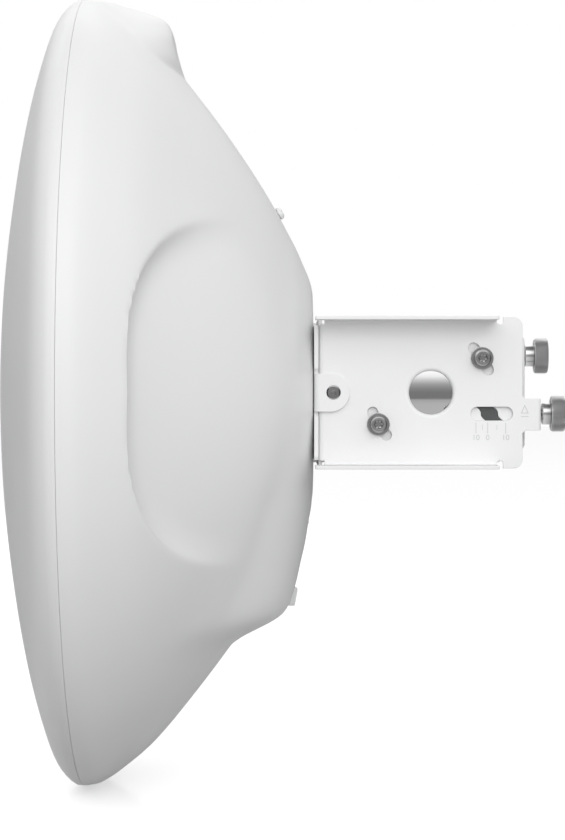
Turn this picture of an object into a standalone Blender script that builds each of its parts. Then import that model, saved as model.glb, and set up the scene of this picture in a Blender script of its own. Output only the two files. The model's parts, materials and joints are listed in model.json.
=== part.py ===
"""Outdoor 60 GHz wireless bridge: a 412 mm dish antenna on a two-axis precision pole mount.

Lengths in this file are millimetres and angles are degrees; the helpers convert them.
Sub-parts are drawn about the gimbal centre, where the azimuth and elevation axes cross.
X points from the dish to the pole, Z is up. The world origin lies on the pole's axis.
"""

import math

import bmesh
import bpy
import numpy as np
from mathutils import Matrix, Vector

MM = 0.001
GAP = 0.3
# Joined shapes overlap, and their faces stand this far apart instead of coinciding
STEP = 0.1

# Where the pole's axis stands behind the gimbal centre
POLE_X = 64.6

# Antenna shells: meridians as (x, radius), from the middle of the face out to the seam
SEAM_X = -177.9
RIM_R = 205.7
WALL = 2.5
RADOME_MERIDIAN = [(-219.1, 0.0), (-218.6, 42.4), (-215.6, 85.3), (-208.8, 128.1), (-201.8, 160.6),
                   (-194.7, 184.4), (-189.1, 197.6), (-182.2, 204.9), (SEAM_X, RIM_R)]
BOWL_MERIDIAN = [(-59.5, 22.3), (-59.5, 45.0), (-60.4, 56.5), (-65.9, 70.5), (-70.9, 81.0),
                 (-84.3, 105.2), (-101.8, 131.9), (-121.3, 158.0), (-141.7, 182.4),
                 (-158.1, 196.6), (-168.7, 203.7), (-174.6, 205.4), (SEAM_X, RIM_R)]
BOWL_RINGS = 22
BOWL_SEGMENTS = 48

# Antenna pod on the top of the bowl: rear outline as (radius, x), footprint as (z, half width)
POD_OUTLINE = [(160.0, -123.0), (163.5, -125.9), (173.0, -129.3), (183.0, -131.9), (188.5, -133.0),
               (193.5, -135.4), (196.5, -139.5), (199.3, -147.0), (202.2, -157.0), (204.6, -165.4),
               (RIM_R, SEAM_X)]
POD_FOOTPRINT = [(160.0, 0.0), (163.5, 18.0), (167.0, 42.0), (171.0, 58.0), (176.0, 62.0),
                 (182.0, 61.0), (190.0, 53.0), (197.0, 45.0), (206.0, 34.0)]
POD_CREST = 0.55

# Cable chin at the bottom of the bowl: outline as (depth below the axis, x), and its half width
CHIN_OUTLINE = [(45.0, -59.7), (57.0, -60.3), (67.0, -62.0), (78.0, -63.8), (88.5, -66.2),
                (98.0, -68.3), (108.0, -71.3), (114.0, -74.5), (118.0, -79.5), (122.0, -87.0),
                (126.0, -94.5), (131.0, -100.9), (137.0, -105.6)]
CHIN_FLAT = 24.0
CHIN_LIFT_EDGE = 125.0
CHIN_FLATTEN_EDGE = 90.0
CHIN_EASE_IN = (25.0, 62.0)
CHIN_EASE_OUT = (105.0, 150.0)

# Grip scoops in the bowl's two sides: a superellipse seen along X
SCOOP_Y = 85.0
SCOOP_REACH = 102.0
SCOOP_HALF_HEIGHT = 85.0
SCOOP_POWER = 2.6
SCOOP_DEPTH = 11.5
SCOOP_FADE = (95.0, 180.0)
SCOOP_WALL = 15.0

# Reflector, feed and hub
REFLECTOR_FOCUS = 125.0
REFLECTOR_VERTEX = -93.7
REFLECTOR_R = 194.0
REFLECTOR_SHEET = 1.5
FEED_R = 7.5
FEED_BORE_R = 5.5
FEED_TIP_X = -165.0
SUB_X = -188.5
SUB_R = 27.0
CAN_R = 21.0
CAN_WALL = 1.5
CAN_END_X = 11.5
CAN_FRONT_X = -85.5
COVER_X = (-36.0, 11.5)
COVER_R = 43.0
COVER_HALF = 12.3
COVER_SHEET = 1.0
HUB_R = 54.0
HUB_FRONT_X = -92.0
HUB_REAR_X = -62.3

# Boards and modules, each as its limits along X, Y and Z
MAIN_BOARD = (-80.0, -2.0), (-19.0, 19.0), (-0.8, 0.8)
RF_MODULE = (-84.0, -58.0), (-11.0, 11.0), (1.1, 12.0)
HEAT_SPREADER = (-76.0, -6.0), (-12.0, 12.0), (-12.0, -1.1)
GPS_ANTENNA = (-144.0, -136.2), (-12.0, 12.0), (173.0, 187.0)
BACKUP_ANTENNA = (-143.5, -139.7), (15.0, 33.0), (172.0, 184.0)
PORT_BOARD = (-92.0, -90.4), (-34.0, 34.0), (-104.5, -66.0)
PORT_BOSSES = [(y, z) for y in (-31.0, 31.0) for z in (-98.0, -72.0)]
PORT_BOSS_R = 2.6
ETHERNET_JACK = (-90.1, -77.0), (-24.0, -8.0), (-94.0, -74.0)
JACK_SOCKET = (-88.6, -78.5), (-22.5, -9.5), (-96.0, -76.0)
SFP_CAGE = (-90.1, -80.0), (4.0, 19.0), (-100.0, -68.0)
SFP_SOCKET = (-89.3, -80.8), (4.8, 18.2), (-102.0, -70.0)
STATUS_LIGHT = (-90.1, -84.0), (-2.5, 0.5), (-80.0, -76.0)
RESET_BUTTON = Vector((-89.8, 23.0, -98.0))
RESET_BUTTON_R = 2.0

# Fittings in the rear shell
GLAND_R = 8.5
GLAND_BORE_R = 3.5
GLAND_X = -86.0
GLAND_Z = (-118.5, -106.0)
VENT_R = 3.4
VENT_Z = 94.4

# Two-axis mount
SHEET = 1.8
CHEEK_Y = 55.5
BRACKET_Z = 38.5
BRACKET_FRONT_X = -57.1
BRACKET_REAR_X = 46.5
FLANGE_Y = 73.0
FLANGE_END_X = 33.4
PIVOT_WINDOW_R = 11.6
COLLAR_R = 13.0
COLLAR_END_Y = 51.2
SLOT_RADIUS = 31.3
SLOT_ANGLES = (34.0, 211.0)
SLOT_HALF_TRAVEL = 12.4
SLOT_HALF_WIDTH = 2.75
TAB_X = 56.0
TAB_Z = (-19.2, -3.1)
TAB_INNER_Y = 42.4
SCALE_WINDOW = (20.1, 41.6, -14.2, -7.2)
PLATE_X = (-59.2, -57.4)
EAR_R = 9.7
PLATE_SCREWS = [(y, z) for y in (-34.0, 34.0) for z in (-29.0, 29.0)]
LOCK_PIN_X = -49.6
LOCK_PIN_R = 3.05
FRAME_SIDE_X = (-36.0, 42.0)
FRAME_SIDE_Y = (51.2, 53.3)
FRAME_TOP_X = (-14.0, 28.0)
FRAME_TOP_Z = (24.7, 26.9)
POINTER_Z = (-17.0, -4.6)
POINTER_HALF = 4.1
LOCK_RADIUS = 24.0
LOCK_ANGLES = (50.0, -50.0)
LOCK_TRAVEL = 13.5
PIVOT_PIN_R = 4.0
ARM_Z = (27.3, 29.5)
WEB_X = (47.2, 49.4)
WEB_Y = 37.0
V_HALF = 15.0
V_FLOOR_HALF = 3.0
V_DEPTH = 8.0
BAND_SLOT = (5.0, 14.0)
BAND_SLOT_Y = 20.5
BAND_SLOT_Z = 13.0
M5_R = 2.5
M5_HOLE_R = 2.8
THREAD_PLAY = 0.45

# Fine-adjustment screws and the nuts they drive
ELEVATION_SCREW = Vector((55.1, -48.0, -10.8))
ELEVATION_NUT = Vector((14.0, -48.0, -10.8))
AZIMUTH_SCREW = Vector((WEB_X[1], -31.3, 19.05))
AZIMUTH_NUT = Vector((0.0, -31.54, 19.05))
KNOB_R = 9.3
KNOB_NECK_R = 5.5

# Cable compartment door, hinged along its top edge by a wire in flush knuckles
DOOR_Y = 27.0
DOOR_Z = (-110.8, -67.3)
DOOR_WALL = 2.2
DOOR_OPENING_Z = (-111.8, -65.3)
DOOR_SIDE_GAP = 0.4
DOOR_HINGE = Vector((-63.4, 0.0, -67.3))
KNUCKLE_R = 1.6
KNUCKLE_Y = (12.0, 18.0)
HINGE_WIRE_R = 0.7
LATCH_Z = (-112.6, -103.2)
LATCH_HALF = 4.5


def reset_scene():
    """Remove every object, so the script can be run again."""
    for item in list(bpy.data.objects):
        bpy.data.objects.remove(item, do_unlink=True)


def new_collection(name):
    """Make a collection in the scene."""
    collection = bpy.data.collections.new(name)
    bpy.context.scene.collection.children.link(collection)
    return collection


def material(name, colour, roughness, metallic=0.0):
    """A Principled material with one colour."""
    made = bpy.data.materials.new(name)
    made.use_nodes = True
    shader = made.node_tree.nodes["Principled BSDF"]
    shader.inputs["Base Color"].default_value = (*colour, 1.0)
    shader.inputs["Roughness"].default_value = roughness
    shader.inputs["Metallic"].default_value = metallic
    return made


reset_scene()
PARTS = new_collection("wireless_bridge")
CUTTERS = new_collection("cutters")
WHITE = material("white_plastic", (0.80, 0.81, 0.81), 0.42)
COATED = material("white_powder_coat", (0.82, 0.82, 0.83), 0.5)
STEEL = material("stainless_steel", (0.55, 0.55, 0.56), 0.28, 1.0)
CHROME = material("polished_steel", (0.75, 0.75, 0.76), 0.06, 1.0)
ALUMINIUM = material("aluminium", (0.70, 0.70, 0.72), 0.35, 1.0)
DARK = material("dark_plastic", (0.08, 0.08, 0.085), 0.5)
RUBBER = material("black_rubber", (0.02, 0.02, 0.02), 0.8)
BOARD = material("green_board", (0.02, 0.16, 0.07), 0.45)
CERAMIC = material("ceramic", (0.75, 0.68, 0.55), 0.5)
BRASS = material("brass", (0.70, 0.52, 0.22), 0.3, 1.0)
CLEAR = material("clear_plastic", (0.85, 0.88, 0.90), 0.1)


def axis_empty(name, place, parent=None):
    """An empty that stands at a body's joint and carries its sub-parts."""
    empty = bpy.data.objects.new(name, None)
    empty.empty_display_size = 10 * MM
    PARTS.objects.link(empty)
    empty.parent = parent
    empty.location = Vector(place) * MM
    return empty


GIMBAL = axis_empty("gimbal_centre", (-POLE_X, 0, 0))
AZIMUTH_AXIS = axis_empty("azimuth_axis", (0, 0, 0), GIMBAL)
ELEVATION_AXIS = axis_empty("elevation_axis", (0, 0, 0), AZIMUTH_AXIS)
SWIVEL_AXIS = axis_empty("swivel_axis", ELEVATION_SCREW, ELEVATION_AXIS)
ELEVATION_NUT_AXIS = axis_empty("elevation_nut_axis", ELEVATION_NUT, AZIMUTH_AXIS)
AZIMUTH_SCREW_AXIS = axis_empty("azimuth_screw_axis", AZIMUTH_SCREW, GIMBAL)
AZIMUTH_NUT_AXIS = axis_empty("azimuth_nut_axis", AZIMUTH_NUT, AZIMUTH_AXIS)
DOOR_AXIS = axis_empty("door_axis", DOOR_HINGE, ELEVATION_AXIS)

# ---------------------------------------------------------------- mesh helpers

ALONG_X = Matrix.Rotation(math.radians(90), 4, "Y")
ALONG_Y = Matrix.Rotation(math.radians(-90), 4, "X")
ALONG_Z = Matrix.Identity(4)
XZ_PLANE = Matrix.Rotation(math.radians(90), 4, "X")
XY_PLANE = Matrix.Identity(4)
YZ_PLANE = Matrix(((0, 0, 1, 0), (1, 0, 0, 0), (0, 1, 0, 0), (0, 0, 0, 1)))


def at(x, y, z, turn=ALONG_Z):
    """A placement: a point in millimetres and a turn."""
    return Matrix.Translation(Vector((x, y, z)) * MM) @ turn


def add_part(name, mesh, finish, parent=ELEVATION_AXIS, smooth=False):
    """Put a mesh into the assembly as one named sub-part."""
    mesh.name = name
    mesh.materials.clear()
    mesh.materials.append(finish)
    if smooth:
        mesh.shade_smooth()
        mesh.set_sharp_from_angle(angle=math.radians(35))
    part = bpy.data.objects.new(name, mesh)
    PARTS.objects.link(part)
    part.parent = parent
    return part


def add_each(name, meshes, finish, parent=ELEVATION_AXIS):
    """Put a repeated fastener into the assembly, one numbered sub-part for each place."""
    for number, mesh in enumerate(meshes, 1):
        add_part(f"{name}_{number}", mesh, finish, parent, smooth=True)


def add_helper(name, mesh, parent=ELEVATION_AXIS):
    """Put a mesh beside the assembly, to cut or to extend a sub-part."""
    helper = bpy.data.objects.new(name, mesh)
    CUTTERS.objects.link(helper)
    helper.parent = parent
    helper.hide_render = True
    helper.display_type = "WIRE"
    return helper


def boolean(part, mesh, operation="DIFFERENCE"):
    """Cut a sub-part with a mesh, or join the mesh to it."""
    helper = add_helper(f"{part.name}_{operation.lower()}_{len(part.modifiers)}", mesh, part.parent)
    modifier = part.modifiers.new(operation.title(), "BOOLEAN")
    modifier.operation = operation
    modifier.solver = "EXACT"
    modifier.object = helper


def finish_mesh(bm, name):
    """Turn a bmesh into a mesh whose faces point out."""
    bmesh.ops.recalc_face_normals(bm, faces=bm.faces)
    mesh = bpy.data.meshes.new(name)
    bm.to_mesh(mesh)
    bm.free()
    return mesh


def box(x, y, z):
    """A box between three pairs of limits."""
    bm = bmesh.new()
    size = [abs(limits[1] - limits[0]) * MM for limits in (x, y, z)]
    centre = [sum(limits) / 2 * MM for limits in (x, y, z)]
    place = Matrix.Translation(centre) @ Matrix.Diagonal((*size, 1.0))
    bmesh.ops.create_cube(bm, size=1.0, matrix=place)
    return finish_mesh(bm, "box")


def rod(radius, length, place, segments=20, end_radius=None):
    """A cylinder, or a cone, that starts at a placement and runs along its Z."""
    bm = bmesh.new()
    centred = place @ Matrix.Translation((0, 0, length / 2 * MM))
    top = radius if end_radius is None else end_radius
    bmesh.ops.create_cone(bm, cap_ends=True, segments=segments, radius1=radius * MM,
                          radius2=top * MM, depth=length * MM, matrix=centred)
    return finish_mesh(bm, "rod")


def merged(meshes):
    """Several closed meshes as one mesh, each still its own solid."""
    bm = bmesh.new()
    for mesh in meshes:
        bm.from_mesh(mesh)
    return finish_mesh(bm, "group")


def placed(mesh, place):
    """A copy of a mesh at a placement."""
    copy = mesh.copy()
    copy.transform(place)
    return copy


def evaluated(part):
    """The mesh of a temporary object with its modifiers applied; the object goes."""
    bpy.context.view_layer.update()
    graph = bpy.context.evaluated_depsgraph_get()
    mesh = bpy.data.meshes.new_from_object(part.evaluated_get(graph))
    bpy.data.objects.remove(part, do_unlink=True)
    return mesh


def turned(profile, segments=32, wall=None, ring=False):
    """Screw a profile of (radius, height) pairs, top to bottom, round Z.

    With a wall the profile is an outer skin and the wall grows inwards. A ring's
    profile is a closed loop; any other profile starts and ends on the axis.
    """
    mesh = bpy.data.meshes.new("profile")
    points = [(radius * MM, 0.0, height * MM) for radius, height in profile]
    edges = [(i, i + 1) for i in range(len(points) - 1)]
    if ring:
        edges.append((len(points) - 1, 0))
    mesh.from_pydata(points, edges, [])
    part = bpy.data.objects.new("profile", mesh)
    bpy.context.scene.collection.objects.link(part)
    screw = part.modifiers.new("Screw", "SCREW")
    screw.steps = segments
    screw.render_steps = segments
    screw.use_merge_vertices = True
    screw.merge_threshold = 0.00001
    if wall:
        solidify = part.modifiers.new("Solidify", "SOLIDIFY")
        solidify.thickness = wall * MM
        solidify.offset = -1.0
        solidify.use_even_offset = True
    mesh = evaluated(part)
    bm = bmesh.new()
    bm.from_mesh(mesh)
    bmesh.ops.remove_doubles(bm, verts=bm.verts, dist=0.000005)
    return finish_mesh(bm, "turned")


def extruded(outlines, thickness, place):
    """A flat plate: an outline and its holes, filled and extruded about a placement."""
    curve = bpy.data.curves.new("outline", "CURVE")
    curve.dimensions = "2D"
    curve.fill_mode = "BOTH"
    curve.extrude = thickness / 2 * MM
    for outline in outlines:
        spline = curve.splines.new("POLY")
        spline.points.add(len(outline) - 1)
        for point, (u, v) in zip(spline.points, outline):
            point.co = (u * MM, v * MM, 0.0, 1.0)
        spline.use_cyclic_u = True
    part = bpy.data.objects.new("outline", curve)
    bpy.context.scene.collection.objects.link(part)
    mesh = evaluated(part)
    bpy.data.curves.remove(curve)
    bm = bmesh.new()
    bm.from_mesh(mesh)
    bmesh.ops.remove_doubles(bm, verts=bm.verts, dist=0.000005)
    bmesh.ops.transform(bm, matrix=place, verts=bm.verts)
    return finish_mesh(bm, "plate")


def arc(centre, radius, start, end, steps=8):
    """Points along an arc."""
    turns = [math.radians(start + (end - start) * i / steps) for i in range(steps + 1)]
    return [(centre[0] + radius * math.cos(t), centre[1] + radius * math.sin(t)) for t in turns]


def circle(centre, radius, segments=24):
    """A round hole's outline."""
    return arc(centre, radius, 0, 360, segments)[:-1]


def rounded_box(left, right, low, high, radius, steps=4):
    """A rectangle's outline with round corners."""
    corners = [((right - radius, high - radius), 0), ((left + radius, high - radius), 90),
               ((left + radius, low + radius), 180), ((right - radius, low + radius), 270)]
    return [p for centre, turn in corners for p in arc(centre, radius, turn, turn + 90, steps)]


def arc_slot(middle):
    """A curved slot's outline round the elevation pivot."""
    first = middle - SLOT_HALF_TRAVEL
    last = middle + SLOT_HALF_TRAVEL
    ends = [(SLOT_RADIUS * math.cos(math.radians(a)), SLOT_RADIUS * math.sin(math.radians(a)))
            for a in (first, last)]
    outer = arc((0, 0), SLOT_RADIUS + SLOT_HALF_WIDTH, first, last, 6)
    inner = arc((0, 0), SLOT_RADIUS - SLOT_HALF_WIDTH, last, first, 6)
    return outer + arc(ends[1], SLOT_HALF_WIDTH, last, last + 180, 6)[1:-1] + inner + arc(
        ends[0], SLOT_HALF_WIDTH, first + 180, first + 360, 6)[1:-1]


def smooth_curve(points, count):
    """Points spaced evenly along a smooth curve through the given ones."""
    knots = np.array(points, float)
    chords = np.hypot(*np.diff(knots, axis=0).T) ** 0.5
    t = np.concatenate([[0.0], np.cumsum(chords)])
    slope = np.empty_like(knots)
    slope[1:-1] = (knots[2:] - knots[:-2]) / (t[2:] - t[:-2])[:, None]
    slope[0] = (knots[1] - knots[0]) / chords[0]
    slope[-1] = (knots[-1] - knots[-2]) / chords[-1]
    dense = np.linspace(0, t[-1], 40 * len(knots))
    i = np.clip(np.searchsorted(t, dense, side="right") - 1, 0, len(knots) - 2)
    h = (t[i + 1] - t[i])[:, None]
    u = (dense - t[i])[:, None] / h
    curve = (knots[i] * (1 + 2 * u) * (1 - u) ** 2 + slope[i] * h * u * (1 - u) ** 2
             + knots[i + 1] * u * u * (3 - 2 * u) + slope[i + 1] * h * u * u * (u - 1))
    length = np.concatenate([[0.0], np.cumsum(np.hypot(*np.diff(curve, axis=0).T))])
    even = np.linspace(0, length[-1], count)
    return np.stack([np.interp(even, length, curve[:, k]) for k in (0, 1)], axis=1)


# ---------------------------------------------------------------- the rear shell's surface

BOWL = smooth_curve(BOWL_MERIDIAN, 400)
POD = smooth_curve(POD_OUTLINE, 200)
CHIN = smooth_curve(CHIN_OUTLINE, 200)


def smooth_step(value):
    """Ease from 0 to 1."""
    t = min(max(value, 0.0), 1.0)
    return t * t * (3 - 2 * t)


def bowl_x(radius):
    """The plain bowl's rear surface."""
    return float(np.interp(radius, BOWL[:, 1], BOWL[:, 0]))


def pod_lift(y, z, radius, base):
    """How far the antenna pod stands out behind the bowl."""
    if z < POD_FOOTPRINT[0][0]:
        return 0.0
    reach = float(np.interp(z, *zip(*POD_FOOTPRINT)))
    if abs(y) >= reach:
        return 0.0
    share = min((reach - abs(y)) / (reach * (1 - POD_CREST)), 1.0)
    top = float(np.interp(radius, POD[:, 0], POD[:, 1]))
    return share * max(top - base, 0.0)


def chin_lift(y, z, base):
    """How far the cable chin stands out behind the bowl."""
    depth = -z
    plain = bowl_x(depth)
    lift = 0.0
    if CHIN_OUTLINE[0][0] < depth < CHIN_OUTLINE[-1][0]:
        lift = max(float(np.interp(depth, CHIN[:, 0], CHIN[:, 1])) - plain, 0.0)
    lift *= smooth_step((CHIN_LIFT_EDGE - abs(y)) / (CHIN_LIFT_EDGE - CHIN_FLAT))
    share = smooth_step((CHIN_FLATTEN_EDGE - abs(y)) / (CHIN_FLATTEN_EDGE - CHIN_FLAT))
    share *= smooth_step((depth - CHIN_EASE_IN[0]) / (CHIN_EASE_IN[1] - CHIN_EASE_IN[0]))
    share *= smooth_step((CHIN_EASE_OUT[1] - depth) / (CHIN_EASE_OUT[1] - CHIN_EASE_OUT[0]))
    return lift + share * max(plain - base, 0.0)


def scoop_cut(y, z):
    """How far a grip scoop goes into the bowl."""
    across = max(abs(y) - SCOOP_Y, 0.0) / SCOOP_REACH
    along = abs(z) / SCOOP_HALF_HEIGHT
    edge = (across ** SCOOP_POWER + along ** SCOOP_POWER) ** (1 / SCOOP_POWER)
    if abs(y) <= SCOOP_Y or edge >= 1.0:
        return 0.0
    inside = min((1 - edge) * SCOOP_HALF_HEIGHT / SCOOP_WALL, 1.0)
    fade = min(max((abs(y) - SCOOP_FADE[0]) / (SCOOP_FADE[1] - SCOOP_FADE[0]), 0.0), 1.0)
    return SCOOP_DEPTH * fade * (1 - (1 - inside) ** 2)


def shell_x(y, z, base=None):
    """The rear shell's outer surface at a point seen along X."""
    radius = math.hypot(y, z)
    base = bowl_x(radius) if base is None else base
    return base + pod_lift(y, z, radius, base) + chin_lift(y, z, base) - scoop_cut(y, z)


def shell_normal(y, z):
    """The outward direction of the rear shell's outer surface."""
    step = 0.5
    slope_y = (shell_x(y + step, z) - shell_x(y - step, z)) / (2 * step)
    slope_z = (shell_x(y, z + step) - shell_x(y, z - step)) / (2 * step)
    return Vector((1.0, -slope_y, -slope_z)).normalized()


def thickened(points, faces, wall):
    """A skin of points and faces given a wall on its inner side."""
    mesh = bpy.data.meshes.new("skin")
    mesh.from_pydata([tuple(Vector(p) * MM) for p in points], [], faces)
    bm = bmesh.new()
    bm.from_mesh(mesh)
    bmesh.ops.recalc_face_normals(bm, faces=bm.faces)
    if sum(face.normal.x * face.calc_area() for face in bm.faces) < 0:
        bmesh.ops.reverse_faces(bm, faces=bm.faces)
    bm.to_mesh(mesh)
    bm.free()
    part = bpy.data.objects.new("skin", mesh)
    bpy.context.scene.collection.objects.link(part)
    solidify = part.modifiers.new("Solidify", "SOLIDIFY")
    solidify.thickness = wall * MM
    solidify.offset = -1.0
    return evaluated(part)


def shell_skin():
    """The rear shell's outer skin: rings of the bowl, pushed out and in by its features."""
    rings = smooth_curve(BOWL_MERIDIAN, BOWL_RINGS)
    points = []
    for base, radius in rings:
        for k in range(BOWL_SEGMENTS):
            turn = 2 * math.pi * k / BOWL_SEGMENTS
            y = radius * math.sin(turn)
            z = radius * math.cos(turn)
            points.append((shell_x(y, z, base), y, z))
    faces = []
    for i in range(BOWL_RINGS - 1):
        for k in range(BOWL_SEGMENTS):
            n = (k + 1) % BOWL_SEGMENTS
            row = i * BOWL_SEGMENTS
            above = row + BOWL_SEGMENTS
            faces.append((row + k, row + n, above + n, above + k))
    return points, faces


# ---------------------------------------------------------------- fasteners

def cap_screw(length, head_r=4.25, head_h=5.0, shank_r=M5_R):
    """A socket-head screw whose head sits above Z = 0 and whose shank runs down."""
    profile = [(0, head_h), (head_r - 0.4, head_h), (head_r, head_h - 0.4), (head_r, 0),
               (shank_r, 0), (shank_r, -length), (0, -length)]
    return turned(profile, 10)


def washer(outer_r=5.7, inner_r=2.7, height=0.9):
    """A flat washer on top of Z = 0."""
    return turned([(inner_r, height), (outer_r, height), (outer_r, 0), (inner_r, 0)], 12, ring=True)


def polar(angle, radius=SLOT_RADIUS):
    """A point round the pivot."""
    return radius * math.cos(math.radians(angle)), radius * math.sin(math.radians(angle))


# ---------------------------------------------------------------- antenna

def screw_holes(front, rear):
    """Cutters for the four screws that hold the plate to the hub."""
    return merged([rod(M5_HOLE_R, rear - front, at(front, y, z, ALONG_X), 12)
                   for y, z in PLATE_SCREWS])


def trim_at_seam(mesh, side):
    """Square off a shell's rim half a gap before the seam, on the side given by a sign."""
    limit = SEAM_X * side + GAP / 2
    for vertex in mesh.vertices:
        vertex.co.x = max(vertex.co.x * side, limit * MM) * side


def build_shells():
    """Radome, rear shell and the gasket between them."""
    outer = smooth_curve(RADOME_MERIDIAN, 10)
    profile = [(radius, x) for x, radius in outer[::-1]]
    profile[-1] = (0.0, profile[-1][1])
    radome = placed(turned(profile, BOWL_SEGMENTS, wall=WALL), ALONG_X)
    trim_at_seam(radome, -1)
    add_part("radome", radome, WHITE, smooth=True)

    skin = thickened(*shell_skin(), WALL)
    trim_at_seam(skin, 1)
    shell = add_part("rear_shell", skin, WHITE, smooth=True)
    bosses = [rod(PORT_BOSS_R, shell_x(y, z) - WALL / 2 - PORT_BOARD[0][1] - GAP,
                  at(PORT_BOARD[0][1] + GAP, y, z, ALONG_X), 10) for y, z in PORT_BOSSES]
    boolean(shell, merged(bosses), "UNION")
    side = DOOR_Y + DOOR_SIDE_GAP
    boolean(shell, box((-82, -50), (-side, side), DOOR_OPENING_Z))
    lugs = []
    for sign in (-1, 1):
        lug = [(sign * (y + offset)) for y, offset in zip(KNUCKLE_Y, (GAP, -GAP))]
        lugs.append(box((DOOR_HINGE.x - 1.0, DOOR_HINGE.x + 1.0), lug, (DOOR_HINGE.z, -64.8)))
    boolean(shell, merged(lugs), "UNION")
    for sign in (-1, 1):
        barrel = at(DOOR_HINGE.x, sign * sum(KNUCKLE_Y) / 2 - 2.65, DOOR_HINGE.z, ALONG_Y)
        boolean(shell, rod(KNUCKLE_R, 5.3, barrel, 14), "UNION")
    boolean(shell, rod(HINGE_WIRE_R + 0.15, 40, at(DOOR_HINGE.x, -20, DOOR_HINGE.z, ALONG_Y), 10))
    boolean(shell, rod(GLAND_R + GAP, 32, at(GLAND_X, 0, -140, ALONG_Z), 24))
    boolean(shell, rod(VENT_R + GAP, 20, vent_place(-12), 16))
    boolean(shell, screw_holes(-70, -50))

    gasket = turned([(199.0, 1.2), (201.8, 1.2), (201.8, -1.2), (199.0, -1.2)], 36, ring=True)
    add_part("rim_gasket", placed(gasket, at(SEAM_X, 0, 0, ALONG_X)), RUBBER, smooth=True)


def vent_place(offset):
    """A placement on the vent's axis, an offset away from the shell's surface."""
    normal = shell_normal(0, VENT_Z)
    point = Vector((shell_x(0, VENT_Z), 0, VENT_Z)) + normal * offset
    return at(*point, normal.to_track_quat("Z", "Y").to_matrix().to_4x4())


def build_shell_fittings():
    """Vent, cable grommet and light pipe in the rear shell."""
    vent = turned([(0, 3.0), (VENT_R - 1.0, 3.0), (VENT_R, 2.0), (VENT_R, -5.0), (0, -5.0)], 16)
    add_part("vent_plug", placed(vent, vent_place(0)), WHITE, smooth=True)
    gland = turned([(GLAND_BORE_R, GLAND_Z[1]), (GLAND_R, GLAND_Z[1]), (GLAND_R, GLAND_Z[0]),
                    (GLAND_BORE_R, GLAND_Z[0])], 20, ring=True)
    add_part("cable_grommet", placed(gland, at(GLAND_X, 0, 0)), RUBBER, smooth=True)


def build_reflector():
    """Main reflector, feed and sub-reflector."""
    radii = np.linspace(REFLECTOR_R, 23.0, 7)
    dish = [(r, REFLECTOR_VERTEX - r * r / (4 * REFLECTOR_FOCUS)) for r in radii]
    loop = [(r, x + REFLECTOR_SHEET) for r, x in dish] + dish[::-1]
    reflector = turned(loop[::-1], 36, ring=True)
    add_part("reflector", placed(reflector, ALONG_X), ALUMINIUM, smooth=True)
    tube = turned([(FEED_BORE_R, -87), (FEED_R, -87), (FEED_R, FEED_TIP_X), (FEED_BORE_R, FEED_TIP_X)],
                  20, ring=True)
    add_part("feed_tube", placed(tube, ALONG_X), ALUMINIUM, smooth=True)
    cone = turned([(0, FEED_TIP_X - GAP), (FEED_R, FEED_TIP_X - GAP), (SUB_R - 2, SUB_X + GAP),
                   (0, SUB_X + GAP)], 24)
    add_part("feed_cone", placed(cone, ALONG_X), CERAMIC, smooth=True)
    sub = turned([(0, SUB_X), (SUB_R, SUB_X), (SUB_R - 6, SUB_X - 3.5), (0, SUB_X - 5)], 24)
    add_part("sub_reflector", placed(sub, ALONG_X), ALUMINIUM, smooth=True)


def build_hub():
    """Hub casting that joins reflector, radio can, shell and mount."""
    nose = HUB_FRONT_X + 4
    profile = [(CAN_R + GAP, nose), (CAN_R + GAP, HUB_REAR_X), (CAN_R + 4, HUB_REAR_X),
               (CAN_R + 4, -80), (HUB_R - 5, -80), (HUB_R - 16, -70), (HUB_R - 16, HUB_REAR_X),
               (HUB_R, HUB_REAR_X - 1.1), (HUB_R, -84), (CAN_R + 8, HUB_FRONT_X),
               (FEED_R + GAP, HUB_FRONT_X), (FEED_R + GAP, nose)]
    hub = add_part("hub_casting", placed(turned(profile, 28, ring=True), ALONG_X), ALUMINIUM,
                   smooth=True)
    boolean(hub, screw_holes(-95, -55))
    outer = [(0, CAN_END_X), (CAN_R - 0.6, CAN_END_X), (CAN_R, CAN_END_X - 0.6), (CAN_R, CAN_FRONT_X)]
    inner = [(CAN_R - CAN_WALL, CAN_FRONT_X), (CAN_R - CAN_WALL, CAN_END_X - CAN_WALL),
             (0, CAN_END_X - CAN_WALL)]
    can = turned(outer + inner, 32)
    add_part("radio_can", placed(can, ALONG_X), CHROME, smooth=True)


def build_can_covers():
    """Polished covers on both sides of the can, behind the pivot windows."""
    inner_half = COVER_HALF - COVER_SHEET
    inner_r = COVER_R - COVER_SHEET
    spread = math.degrees(math.asin(COVER_HALF / COVER_R))
    inner_spread = math.degrees(math.asin(inner_half / inner_r))
    root = math.sqrt((CAN_R + GAP) ** 2 - inner_half ** 2) + 0.1
    outline = [(root, -COVER_HALF)] + arc((0, 0), COVER_R, -spread, spread, 10) + [(root, COVER_HALF)]
    outline += [(root, inner_half)] + arc((0, 0), inner_r, inner_spread, -inner_spread, 10)
    outline += [(root, -inner_half)]
    length = COVER_X[1] - COVER_X[0]
    shapes = [extruded([[(sign * u, v) for u, v in outline]], length, at(sum(COVER_X) / 2, 0, 0) @ YZ_PLANE)
              for sign in (-1, 1)]
    add_each("can_cover", shapes, CHROME)


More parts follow.
